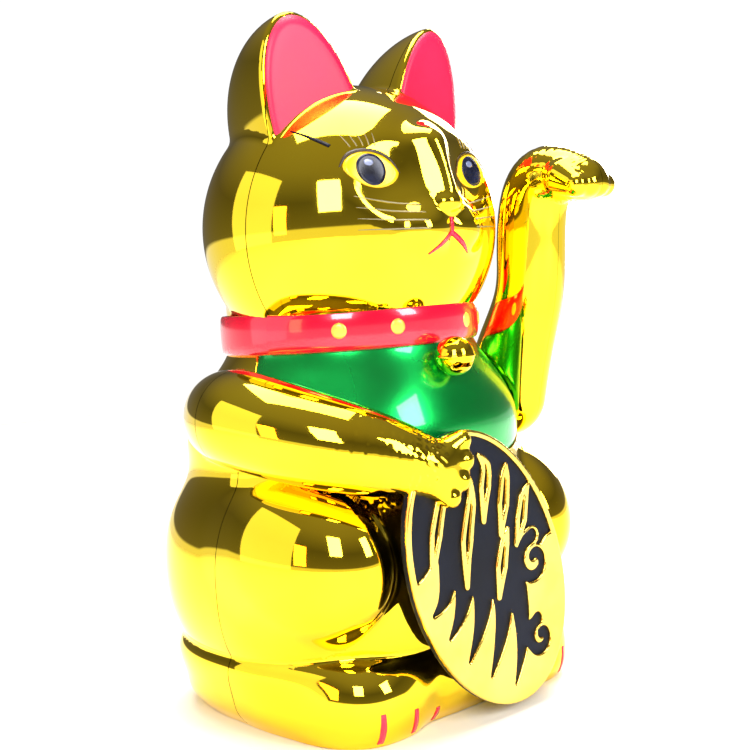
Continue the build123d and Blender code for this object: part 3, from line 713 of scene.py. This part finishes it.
def patch(name, outline, centre, mat, field, lift=0.16, rings=7, thick=0.12):
    """A filled shape, star shaped about its centre, as a thin film: a printed mark, or a pupil's painted
    highlight.
    """
    outline = np.array(outline, float)
    centre = np.array(centre, float)
    n = len(outline)
    flat = [centre]
    for ring in range(1, rings + 1):
        flat.extend(centre + (outline - centre) * ring / rings)
    top = on_front(np.array(flat), field, lift)
    under = on_front(np.array(flat), field, lift - thick)
    faces = []
    offset = len(flat)
    for i in range(n):
        j = (i + 1) % n
        faces.append((0, 1 + i, 1 + j))
        faces.append((offset, offset + 1 + j, offset + 1 + i))
        for ring in range(rings - 1):
            a = 1 + ring * n
            b = a + n
            faces.append((a + i, b + i, b + j, a + j))
            faces.append((offset + a + j, offset + b + j, offset + b + i, offset + a + i))
        last = 1 + (rings - 1) * n
        faces.append((last + i, offset + last + i, offset + last + j, last + j))
    verts = np.concatenate([top, under])
    obj = make_object(name, verts, faces)
    fix_normals(obj)
    give(obj, mat)
    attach(obj, "body")
    return obj


def fix_normals(obj, join=False):
    """Face every polygon outwards, joining points in the same place first if asked."""
    bm = bmesh.new()
    bm.from_mesh(obj.data)
    if join:
        bmesh.ops.remove_doubles(bm, verts=bm.verts[:], dist=1e-6)
    bmesh.ops.recalc_face_normals(bm, faces=bm.faces[:])
    bm.to_mesh(obj.data)
    bm.free()


def stroke(name, points, widths, mat, field, lift=0.16, thick=0.1):
    """A printed line of changing width along points."""
    points = np.array(points, float)
    u = np.linspace(0, len(points) - 1, max(8, 6 * len(points)))
    line = spline(np.arange(len(points), dtype=float), points, u)
    half = np.interp(u, np.linspace(0, len(points) - 1, len(widths)), widths) / 2
    along = np.gradient(line, axis=0)
    along /= np.linalg.norm(along, axis=1)[:, None]
    side = np.stack([-along[:, 1], along[:, 0]], axis=1)
    left = line + side * half[:, None]
    right = line - side * half[:, None]
    outline = np.concatenate([left, right[::-1]])
    top = on_front(outline, field, lift)
    under = on_front(outline, field, lift - thick)
    n = len(line)
    m = 2 * n
    faces = []
    for i in range(n - 1):
        a, b, c, d = i, i + 1, m - 2 - i, m - 1 - i
        faces.append((a, b, c, d))
        faces.append((m + d, m + c, m + b, m + a))
    for i in range(m):
        j = (i + 1) % m
        faces.append((i, m + i, m + j, j))
    obj = make_object(name, np.concatenate([top, under]), faces)
    fix_normals(obj)
    give(obj, mat)
    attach(obj, "body")
    return obj


def almond(cx, cz, half_width, up, down, side):
    """An eye outline with pointed corners, the outer one a little higher."""
    points = []
    for i in range(48):
        t = 2 * math.pi * i / 48
        c = math.cos(t)
        s = math.sin(t)
        height = up if s > 0 else down
        x = half_width * math.copysign(abs(c) ** 1.05, c)
        z = height * math.copysign(abs(s) ** 1.15, s) + 0.10 * x
        points.append((cx + side * x, cz + z))
    return points


def ring_points(cx, cz, rx, rz):
    points = []
    for i in range(32):
        t = 2 * math.pi * i / 32
        points.append((cx + rx * math.cos(t), cz + rz * math.sin(t)))
    return points


def around_eye(side, points):
    """Places given from the eye's centre, x outwards, for either side of the face."""
    return [(side * (EYE_X + x), EYE_Z + z) for x, z in points]


def build_eye(side, label):
    cx = side * EYE_X
    outline = almond(cx, EYE_Z, 7.9, 5.2, 4.7, side)
    film = patch("eye_print_" + label, outline, (cx, EYE_Z), YELLOW, head, EYE_LIFT)
    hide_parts("eye_" + label)
    pupil_x = side * (EYE_X + 0.1)
    pupil = ring_points(pupil_x, EYE_Z + 0.2, 4.5, 4.4)
    patch("pupil_" + label, pupil, (pupil_x, EYE_Z + 0.4), PUPIL, head, PUPIL_LIFT, 6)
    # A pale spot painted on the pupil as its highlight, where light would reflect off the glossy dome
    glint_at = (pupil_x - 0.4, EYE_Z + 2.2)
    glint = ring_points(*glint_at, 1.5, 0.9)
    patch("pupil_painted_glint_" + label, glint, glint_at, PUPIL_PAINTED_GLINT, head, GLINT_LIFT, 4)
    lid = around_eye(side, ((-8.2, -0.9), (-5.5, 3.6), (0.0, 5.6), (5.5, 4.6), (8.6, 1.1)))
    stroke("lid_" + label, lid, (0.2, 0.8, 0.9, 0.8, 0.3), LINE_DARK, head, LID_LIFT)


def build_lashes(side, label):
    """Five fine upright lashes over an eye, then the brow outside them."""
    for step in range(5):
        x = -2.5 + 1.7 * step
        base = (x, 6.9 - 0.02 * step * step)
        tip = (x + 0.25 * (step - 1), 10.2)
        middle = ((base[0] + tip[0]) / 2, (base[1] + tip[1]) / 2)
        line = around_eye(side, (base, middle, tip))
        stroke(f"lash_{label}_{step}", line, (0.35, 0.3, 0.1), LINE_GREY, head, LASH_LIFT)
    brow = around_eye(side, ((8.4, 7.2), (10.4, 9.6), (12.6, 12.6)))
    stroke("brow_" + label, brow, (1.0, 0.9, 0.3), NAVY, head, BROW_LIFT)


def build_whiskers(side, label):
    for step in range(4):
        start = (side * 9.0, 143.2 - 2.2 * step)
        middle = (side * 17.5, 144.4 - 2.5 * step)
        end = (side * 26.5, 146.2 - 3.0 * step)
        name = f"whisker_{label}_{step}"
        stroke(name, [start, middle, end], (0.35, 0.4, 0.15), LINE_GREY, head, WHISKER_LIFT)


def build_face():
    sides = ((1, "left"), (-1, "right"))
    for side, label in sides:
        build_eye(side, label)
        build_lashes(side, label)
        build_whiskers(side, label)
    centre = [(0.0, 139.6), (0.0, 137.2), (0.0, 134.9)]
    stroke("mouth_centre", centre, (1.1, 1.3, 1.3), LINE_RED, head, MOUTH_LIFT)
    for side, label in sides:
        line = [(0.0, 135.4), (side * 3.6, 132.6), (side * 7.6, 129.7)]
        stroke("mouth_" + label, line, (1.4, 1.3, 0.35), LINE_RED, head, MOUTH_LIFT)


def build_toe_stripes():
    for side, label in ((1, "left"), (-1, "right")):
        for step, (x, top) in enumerate(((36.7, 9.6), (25.6, 8.2), (15.4, 5.4))):
            line = [(side * x, 1.2), (side * x, top / 2 + 0.6), (side * x, top)]
            stroke(f"toe_{label}_{step}", line, (1.6, 1.7, 1.3), LINE_RED, lower_body, TOE_LIFT)


# ---------- ear linings ----------

def build_ear_linings():
    for side, label in ((1, "left"), (-1, "right")):
        count = 72
        rings = 10
        points = []
        for ring in range(rings + 1):
            share = ring / rings
            for i in range(count):
                t = 2 * math.pi * i / count
                u = (EAR_RADII[0] - 1.1) * math.cos(t) * share
                v = (EAR_RADII[2] - 1.2) * math.sin(t) * share
                x = EAR[0] + u * math.cos(EAR_LEAN) + v * math.sin(EAR_LEAN)
                z = EAR[2] - u * math.sin(EAR_LEAN) + v * math.cos(EAR_LEAN)
                rise = 0.45 if ring < rings else 0.1
                y = EAR_FACE[1] + (x - EAR_FACE[0]) * math.tan(EAR_TURN) - rise
                points.append((side * x, y, z))
        faces = []
        for ring in range(rings):
            for i in range(count):
                j = (i + 1) % count
                a = ring * count
                b = a + count
                faces.append((a + i, b + i, b + j, a + j))
        back = [(x, y + 0.6, z) for x, y, z in points[-count:]]
        start = len(points)
        points += back
        last = rings * count
        for i in range(count):
            j = (i + 1) % count
            faces.append((last + i, start + i, start + j, last + j))
        faces.append(tuple(range(start, start + count)))
        obj = make_object("ear_face_" + label, points, faces)
        fix_normals(obj, join=True)
        give(obj, EAR_RED)
        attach(obj, "body")
        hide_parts("ear_lining_" + label)


# ---------- collar, studs, bell and bib ----------

def collar_profile(radius):
    """The band's section: rounded outside edges and a flat back, as radius and height."""
    points = [(COLLAR_INNER, COLLAR_LOW), (COLLAR_INNER, COLLAR_HIGH)]
    middle = (COLLAR_HIGH + COLLAR_LOW) / 2
    half = (COLLAR_HIGH - COLLAR_LOW) / 2
    reach = radius - COLLAR_INNER
    for i in range(25):
        t = math.pi / 2 * (1 - 2 * i / 24)
        c = abs(math.cos(t)) ** 0.45
        s = math.copysign(abs(math.sin(t)) ** 0.8, t)
        points.append((COLLAR_INNER + reach * c, middle + half * s))
    return points


def build_collar():
    """The two half bands, which meet where the body's seam crosses them."""
    lean = math.tan(SEAM_LEAN)
    seam_at = SEAM_Y - lean * (COLLAR_LOW + COLLAR_HIGH) / 2 - COLLAR_Y
    for label, front in (("front", True), ("back", False)):
        radius = COLLAR_RADIUS + (FRONT_BAND_PROUD if front else 0.0)
        profile = collar_profile(radius)
        edge = math.asin(seam_at / radius)
        if front:
            angles = np.linspace(-math.pi - edge, edge, COLLAR_STEPS)
        else:
            angles = np.linspace(edge, math.pi - edge, COLLAR_STEPS)
        verts = []
        for angle in angles:
            for r, z in profile:
                verts.append((r * math.cos(angle), COLLAR_Y + r * math.sin(angle), z))
        n = len(profile)
        faces = []
        for k in range(len(angles) - 1):
            for i in range(n):
                j = (i + 1) % n
                faces.append((k * n + i, k * n + j, (k + 1) * n + j, (k + 1) * n + i))
        faces.append(tuple(range(n)))
        faces.append(tuple((len(angles) - 1) * n + i for i in range(n)))
        obj = make_object("collar_band_" + label, verts, faces)
        fix_normals(obj)
        obj.data.set_sharp_from_angle(angle=math.radians(50))
        give(obj, RED)
        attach(obj, "body")
        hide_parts("collar_" + label)


def build_studs():
    """Four shallow gold domes bent to the front band."""
    radius = COLLAR_RADIUS + 0.95
    middle = (COLLAR_HIGH + COLLAR_LOW) / 2
    verts = []
    faces = []
    for turn in STUD_TURNS:
        angle = math.radians(turn - 90)
        out = np.array([math.cos(angle), math.sin(angle), 0])
        across = np.array([-math.sin(angle), math.cos(angle), 0])
        centre = np.array([0, COLLAR_Y, middle]) + out * radius
        start = len(verts)
        verts.append(tuple(centre + out * STUD_RISE))
        for ring in range(1, STUD_RINGS + 1):
            share = ring / STUD_RINGS
            rise = STUD_RISE * (1 - share ** 4) - (0.25 if ring == STUD_RINGS else 0)
            for i in range(STUD_SIDES):
                t = 2 * math.pi * i / STUD_SIDES
                u = STUD_RADIUS * min(share, 0.985) * math.cos(t)
                v = STUD_RADIUS * min(share, 0.985) * math.sin(t)
                curve = -u * u / (2 * radius)
                spot = centre + out * (rise + curve) + across * u + np.array([0, 0, v])
                verts.append(tuple(spot))
        for i in range(STUD_SIDES):
            j = (i + 1) % STUD_SIDES
            faces.append((start, start + 1 + i, start + 1 + j))
            for ring in range(STUD_RINGS - 1):
                a = start + 1 + ring * STUD_SIDES
                b = a + STUD_SIDES
                faces.append((a + i, b + i, b + j, a + j))
        last = start + 1 + (STUD_RINGS - 1) * STUD_SIDES
        faces.append(tuple(last + i for i in range(STUD_SIDES)))
    obj = make_object("collar_dots", verts, faces)
    fix_normals(obj)
    obj.data.set_sharp_from_angle(angle=math.radians(60))
    give(obj, DOT_GOLD)
    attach(obj, "body")
    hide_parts("collar_studs")


def bell(p):
    """A round bell with a ridge round its middle and a slot with round ends."""
    v = p - BELL
    ball = np.linalg.norm(v, axis=1) - BELL_RADIUS
    from_axis = np.sqrt(v[:, 0] ** 2 + v[:, 1] ** 2)
    ridge = np.sqrt((from_axis - 5.55) ** 2 + v[:, 2] ** 2) - 0.35
    ball = smooth_min(ball, ridge, 0.3)
    along = np.abs(v[:, 0]) - BELL_SLOT_HALF
    across = v[:, 2] + BELL_SLOT_DROP
    slot = np.maximum(along, np.abs(across) - 0.55)
    ends = np.sqrt(along ** 2 + across ** 2) - 0.95
    slot = np.maximum(np.minimum(slot, ends), v[:, 1] + 2.5)
    hollow = np.linalg.norm(v, axis=1) - BELL_INNER
    d = smooth_max(ball, -slot, 0.25)
    return np.maximum(d, -hollow)


def build_bell():
    verts, quads = solid_mesh(bell, BELL - 7, BELL + 7, 0.35, rounds=2)
    obj = make_object("jingle_bell", verts, quads)
    obj.data.set_sharp_from_angle(angle=math.radians(55))
    give(obj, GOLD)
    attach(obj, "body")
    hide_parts("bell")


def bib_bottom(angle):
    """The lowest height of the bib at an angle from straight ahead."""
    share = min(abs(angle) / BIB_HALF_ANGLE, 1.0)
    return BIB_BOTTOM + (COLLAR_LOW - 0.4 - BIB_BOTTOM) * share ** 4


def chest_points(angles, heights, lift):
    """Points at a lift off the chest, at angles from straight ahead and heights, by bisection."""
    direction = np.stack([np.sin(angles), -np.cos(angles)], axis=1)
    low = np.full(len(angles), 20.0)
    high = np.full(len(angles), 70.0)
    for _ in range(24):
        mid = (low + high) / 2
        p = np.stack([direction[:, 0] * mid, COLLAR_Y + direction[:, 1] * mid, heights], axis=1)
        within = stack(p, BODY_SECTIONS) < lift
        low = np.where(within, mid, low)
        high = np.where(within, high, mid)
    return np.stack([direction[:, 0] * low, COLLAR_Y + direction[:, 1] * low, heights], axis=1)


def build_bib():
    """The thin raised bib, rounded off at its edges, with a gold bead along its hem."""
    columns = 96
    rows = 34
    grid_angle = []
    grid_z = []
    lifts = []
    for i in range(columns + 1):
        angle = BIB_HALF_ANGLE * (2 * i / columns - 1)
        bottom = bib_bottom(angle)
        for j in range(rows + 1):
            share = j / rows
            grid_angle.append(angle)
            grid_z.append(COLLAR_LOW + 0.6 + (bottom - COLLAR_LOW - 0.6) * share)
            from_side = columns / 2 - abs(i - columns / 2)
            edge = min((1 - share) * rows / 2.0, from_side / 2.0, 1.0)
            lifts.append(0.08 + BIB_THICK * math.sqrt(max(edge, 0.0)))
    top = chest_points(np.array(grid_angle), np.array(grid_z), np.array(lifts))
    under = chest_points(np.array(grid_angle), np.array(grid_z), np.full(len(grid_z), -0.1))
    n = rows + 1
    offset = len(top)
    faces = []
    for i in range(columns):
        for j in range(rows):
            a = i * n + j
            faces.append((a, a + 1, a + n + 1, a + n))
            faces.append((offset + a + n, offset + a + n + 1, offset + a + 1, offset + a))
    rim = [i * n for i in range(columns + 1)]
    rim += [columns * n + j for j in range(1, n)]
    rim += [i * n + rows for i in range(columns - 1, -1, -1)]
    rim += [j for j in range(rows - 1, 0, -1)]
    for a, b in zip(rim, rim[1:] + rim[:1]):
        faces.append((a, b, offset + b, offset + a))
    verts = np.concatenate([top, under])
    verts[:, 0] = np.minimum(verts[:, 0], POCKET_X + 0.1)
    obj = make_object("chest_bib", verts, faces)
    fix_normals(obj)
    obj.data.set_sharp_from_angle(angle=math.radians(60))
    give(obj, GREEN)
    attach(obj, "body")
    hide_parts("bib")
    angles = np.linspace(-BIB_HALF_ANGLE, BIB_HALF_ANGLE, 140)
    heights = np.array([bib_bottom(a) for a in angles])
    path = chest_points(angles, heights, np.full(len(angles), 0.25))
    path[:, 0] = np.minimum(path[:, 0], POCKET_X + 0.1)
    bead("bib_edge", path, 0.5, GOLD)


def bead(name, path, radius, mat, sides=10):
    """A thin round bead along an open path."""
    along = np.gradient(path, axis=0)
    along /= np.maximum(np.linalg.norm(along, axis=1), 1e-9)[:, None]
    up = np.cross(along, np.array([0.1, 1.0, 0.05]))
    up /= np.linalg.norm(up, axis=1)[:, None]
    side = np.cross(along, up)
    verts = []
    for k in range(sides):
        t = 2 * math.pi * k / sides
        verts.append(path + radius * (up * math.cos(t) + side * math.sin(t)))
    verts = np.stack(verts, axis=1).reshape(-1, 3)
    count = len(path)
    faces = []
    for i in range(count - 1):
        a = i * sides
        b = a + sides
        for k in range(sides):
            m = (k + 1) % sides
            faces.append((a + k, a + m, b + m, b + k))
    faces.append(tuple(range(sides)))
    faces.append(tuple((count - 1) * sides + k for k in range(sides)))
    obj = make_object(name, verts, faces)
    fix_normals(obj)
    give(obj, mat)
    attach(obj, "body")


# ---------- oval plate with its wave pattern ----------

def koban_to_world(points):
    """From the plate's own frame (across, along, out of the face) to the cat's."""
    c = math.cos(KOBAN_TILT)
    s = math.sin(KOBAN_TILT)
    u = points[:, 0]
    v = points[:, 1]
    w = points[:, 2]
    x = c * u + s * v
    z = -s * u + c * v
    return np.stack([KOBAN_CENTRE[0] + x, KOBAN_CENTRE[1] - w, KOBAN_CENTRE[2] + z], axis=1)


def oval(p, shrink=0.0):
    """Distance to the plate's outline, drawn in by shrink."""
    half = KOBAN_HALF - shrink
    q = p[:, :2] / half
    k0 = np.linalg.norm(q, axis=1)
    k1 = np.linalg.norm(q / half, axis=1)
    return k0 * (k0 - 1) / np.maximum(k1, 1e-6)


def ribbon(p, points, widths):
    """Distance to a flat curved stroke that changes width along its length."""
    points = np.array(points, float)
    u = np.linspace(0, len(points) - 1, 7 * len(points))
    line = spline(np.arange(len(points), dtype=float), points, u)
    half = np.interp(u, np.linspace(0, len(points) - 1, len(widths)), widths) / 2
    best = np.full(len(p), 1e3)
    for i in range(len(line) - 1):
        a = line[i]
        ba = line[i + 1] - a
        pa = p[:, :2] - a
        h = np.clip(pa @ ba / (ba @ ba), 0, 1)
        d = np.linalg.norm(pa - h[:, None] * ba, axis=1) - (half[i] + (half[i + 1] - half[i]) * h)
        best = np.minimum(best, d)
    return best


def scroll(centre, start, turns, radius):
    """Points of a small spiral that winds inwards."""
    points = []
    for i in range(12):
        share = i / 11
        angle = start + turns * 2 * math.pi * share
        r = radius * (1 - 0.78 * share)
        points.append((centre[0] + r * math.cos(angle), centre[1] + r * math.sin(angle)))
    return points


# Dark tongues of water that run down into the gold lower field, each with a raised outline
DARK_TONGUES = [
    ([(-4, 26), (-12, 12), (-18, 4), (-24, 2)], (7, 8, 5, 1.0)),
    ([(0, 22), (-8, 6), (-15, -3), (-22, -7)], (9, 9, 5, 1.0)),
    ([(3, 16), (-4, -1), (-11, -11), (-19, -17)], (9, 9, 5, 1.0)),
    ([(5, 10), (1, -8), (-6, -19), (-14, -26)], (9, 8, 5, 1.0)),
    ([(8, 4), (6, -12), (1, -25), (-7, -34)], (8, 8, 5, 1.0)),
]
# Sunk scrolls on the right, wide at the start and closing on themselves
DARK_SCROLLS = [((16, -8), 1.2, 1.05, 7.0), ((8, -29), 1.4, 0.95, 5.4)]
# Gusts of wind raised on the dark upper field: each is a thin outline round a dark core
GUSTS = [
    [(-20, 10), (-13, 20), (-6, 28), (-2, 33)],
    [(-10, 1), (-4, 12), (2, 20), (5, 26)],
    [(4, 13), (9, 21), (12, 26), (11, 30)],
    [(8, 6), (13, 13), (17, 19), (19, 22)],
    [(12, 0), (17, 5), (21, 10), (24, 12)],
    [(-1, -9), (4, -2), (8, 3), (11, 6)],
]


def gold_area(p):
    """Flat outline of the raised gold on the plate's face."""
    edge = oval(p)
    rim = np.maximum(edge, -oval(p, 1.7))
    field = p[:, 1] - (4 - 0.45 * p[:, 0] + 2.5 * np.sin(p[:, 0] * 0.3))
    dark = np.full(len(p), 1e3)
    ridges = np.full(len(p), 1e3)
    for points, widths in DARK_TONGUES:
        tongue = ribbon(p, points, widths)
        dark = np.minimum(dark, tongue)
        ridges = np.minimum(ridges, np.maximum(tongue - OUTLINE, p[:, 1] - points[1][1]))
    for centre, start, turns, radius in DARK_SCROLLS:
        curl = ribbon(p, scroll(centre, start, turns, radius), (4.2, 3.4, 3.0, 3.2))
        dark = np.minimum(dark, curl)
        ridges = np.minimum(ridges, curl - OUTLINE)
    lower = smooth_max(field, -dark, 0.8)
    ridges = np.maximum(ridges, -dark)
    lines = np.full(len(p), 1e3)
    for points in GUSTS:
        gust = ribbon(p, points, (1.6, 4.6, 3.8, 1.4))
        lines = np.minimum(lines, np.abs(gust + OUTLINE) - OUTLINE)
    gold = smooth_min(np.minimum(lower, ridges), lines, 0.3)
    gold = np.minimum(rim, gold)
    return np.maximum(gold, edge + 0.02)


def koban_relief(p):
    outline = gold_area(p)
    height = np.abs(p[:, 2] - (KOBAN_FACE + 0.2)) - 0.75
    return smooth_max(outline, height, 0.45)


def koban_plate(p):
    height = np.abs(p[:, 2] - KOBAN_FACE / 2) - KOBAN_FACE / 2
    return smooth_max(oval(p, 0.15), height, 0.5)


def build_koban():
    """The dark oval plate and the gold relief that stands on its face."""
    step = 0.5
    wide, tall = KOBAN_HALF + 1
    verts, quads = solid_mesh(koban_relief, (-wide, -tall, 0.6), (wide, tall, 4.2), step)
    relief = make_object("koban_relief", koban_to_world(verts), quads[:, ::-1])
    fix_normals(relief)
    give(relief, GOLD_TRIM)
    verts, quads = solid_mesh(koban_plate, (-wide, -tall, -1), (wide, tall, 3.4), 0.7)
    plate = make_object("koban_plate", koban_to_world(verts), quads[:, ::-1])
    fix_normals(plate)
    give(plate, NAVY)
    for obj in (relief, plate):
        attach(obj, "body")
    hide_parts("koban")


# ---------- studio ----------

def build_stage():
    """The pale floor, a dim room for the gold to reflect, and a white backdrop for the camera."""
    bpy.ops.mesh.primitive_circle_add(vertices=128, radius=1.1, fill_type="NGON", location=(0, 0, -0.0002))
    floor = bpy.context.object
    floor.name = "studio_floor"
    give(floor, material("floor_card", srgb(250, 250, 248), srgb(247, 247, 245), 0.7, 0.0, 8, 0.02))
    world = bpy.data.worlds.new("studio")
    bpy.context.scene.world = world
    world.use_nodes = True
    nodes = world.node_tree.nodes
    links = world.node_tree.links
    room = nodes["Background"]
    place = nodes.new("ShaderNodeTexCoord")
    split = nodes.new("ShaderNodeSeparateXYZ")
    ramp = nodes.new("ShaderNodeValToRGB")
    links.new(place.outputs["Generated"], split.inputs["Vector"])
    links.new(split.outputs["Z"], ramp.inputs["Fac"])
    ramp.color_ramp.elements[0].position = 0.0
    ramp.color_ramp.elements[0].color = (0.95, 0.95, 0.93, 1)
    ramp.color_ramp.elements[1].position = 1.0
    ramp.color_ramp.elements[1].color = (0.30, 0.29, 0.28, 1)
    for position, level in ((0.02, 0.16), (0.35, 0.10), (0.7, 0.24)):
        spot = ramp.color_ramp.elements.new(position)
        spot.color = (level, level * 0.96, level * 0.9, 1)
    links.new(ramp.outputs["Color"], room.inputs["Color"])
    backdrop = nodes.new("ShaderNodeBackground")
    backdrop.inputs["Strength"].default_value = 1.05
    backdrop.inputs["Color"].default_value = (1, 1, 1, 1)
    ray = nodes.new("ShaderNodeLightPath")
    mix = nodes.new("ShaderNodeMixShader")
    links.new(ray.outputs["Is Camera Ray"], mix.inputs["Fac"])
    links.new(room.outputs["Background"], mix.inputs[1])
    links.new(backdrop.outputs["Background"], mix.inputs[2])
    links.new(mix.outputs["Shader"], nodes["World Output"].inputs["Surface"])


def soft_box(name, place, aim, size, power, colour=(1, 1, 1)):
    """A rectangular light at place that faces aim, in metres and watts."""
    light = bpy.data.lights.new(name, "AREA")
    light.shape = "RECTANGLE"
    light.size = size[0]
    light.size_y = size[1]
    light.energy = power
    light.color = colour
    obj = bpy.data.objects.new(name, light)
    bpy.context.scene.collection.objects.link(obj)
    obj.location = place
    obj.rotation_euler = (Vector(aim) - Vector(place)).to_track_quat("-Z", "Y").to_euler()


def build_camera():
    data = bpy.data.cameras.new("camera")
    data.sensor_width = 36.0
    data.lens = LENS_MM
    data.clip_start = 0.01
    obj = bpy.data.objects.new("camera", data)
    bpy.context.scene.collection.objects.link(obj)
    back = Vector((-math.sin(VIEW_TURN), -math.cos(VIEW_TURN), 0))
    turn = Matrix.Rotation(-VIEW_YAW, 3, "Z")
    back = turn @ back
    right = Vector((0, 0, 1)).cross(back)
    back = Matrix.Rotation(-VIEW_PITCH, 3, right) @ back
    up = back.cross(right)
    roll = Matrix.Rotation(VIEW_ROLL, 3, back)
    right = roll @ right
    up = roll @ up
    matrix = Matrix((right, up, back)).transposed().to_4x4()
    eye = Vector((-math.sin(VIEW_TURN), -math.cos(VIEW_TURN), 0)) * VIEW_DISTANCE
    matrix.translation = eye + Vector((0, 0, VIEW_HEIGHT))
    obj.matrix_world = matrix
    bpy.context.scene.camera = obj


def build_lights():
    chest = (0, 0, 0.1)
    warm = (1.0, 0.42, 0.16)
    soft_box("key_window", (-0.75, -0.75, 0.62), chest, (0.34, 0.5), 9)
    soft_box("front_window", (0.25, -1.05, 0.55), chest, (0.3, 0.5), 8)
    soft_box("warm_lamp", (-1.15, -0.1, 0.3), chest, (0.22, 0.42), 2.2, warm)
    soft_box("top_panel", (0.1, 0.1, 1.3), (0, 0, 0), (0.9, 0.9), 26)
    soft_box("rear_left", (-1.25, 0.55, 0.5), chest, (1.1, 1.3), 5)
    soft_box("rear_right", (1.0, 0.5, 0.5), chest, (0.4, 0.8), 9)


build_camera()
build_stage()
build_lights()
dress_inner_nodes()
build_body()
build_arm()
build_collar()
build_studs()
build_bell()
build_bib()
build_ear_linings()
build_face()
build_toe_stripes()
build_koban()
bpy.context.scene.view_settings.view_transform = "Standard"
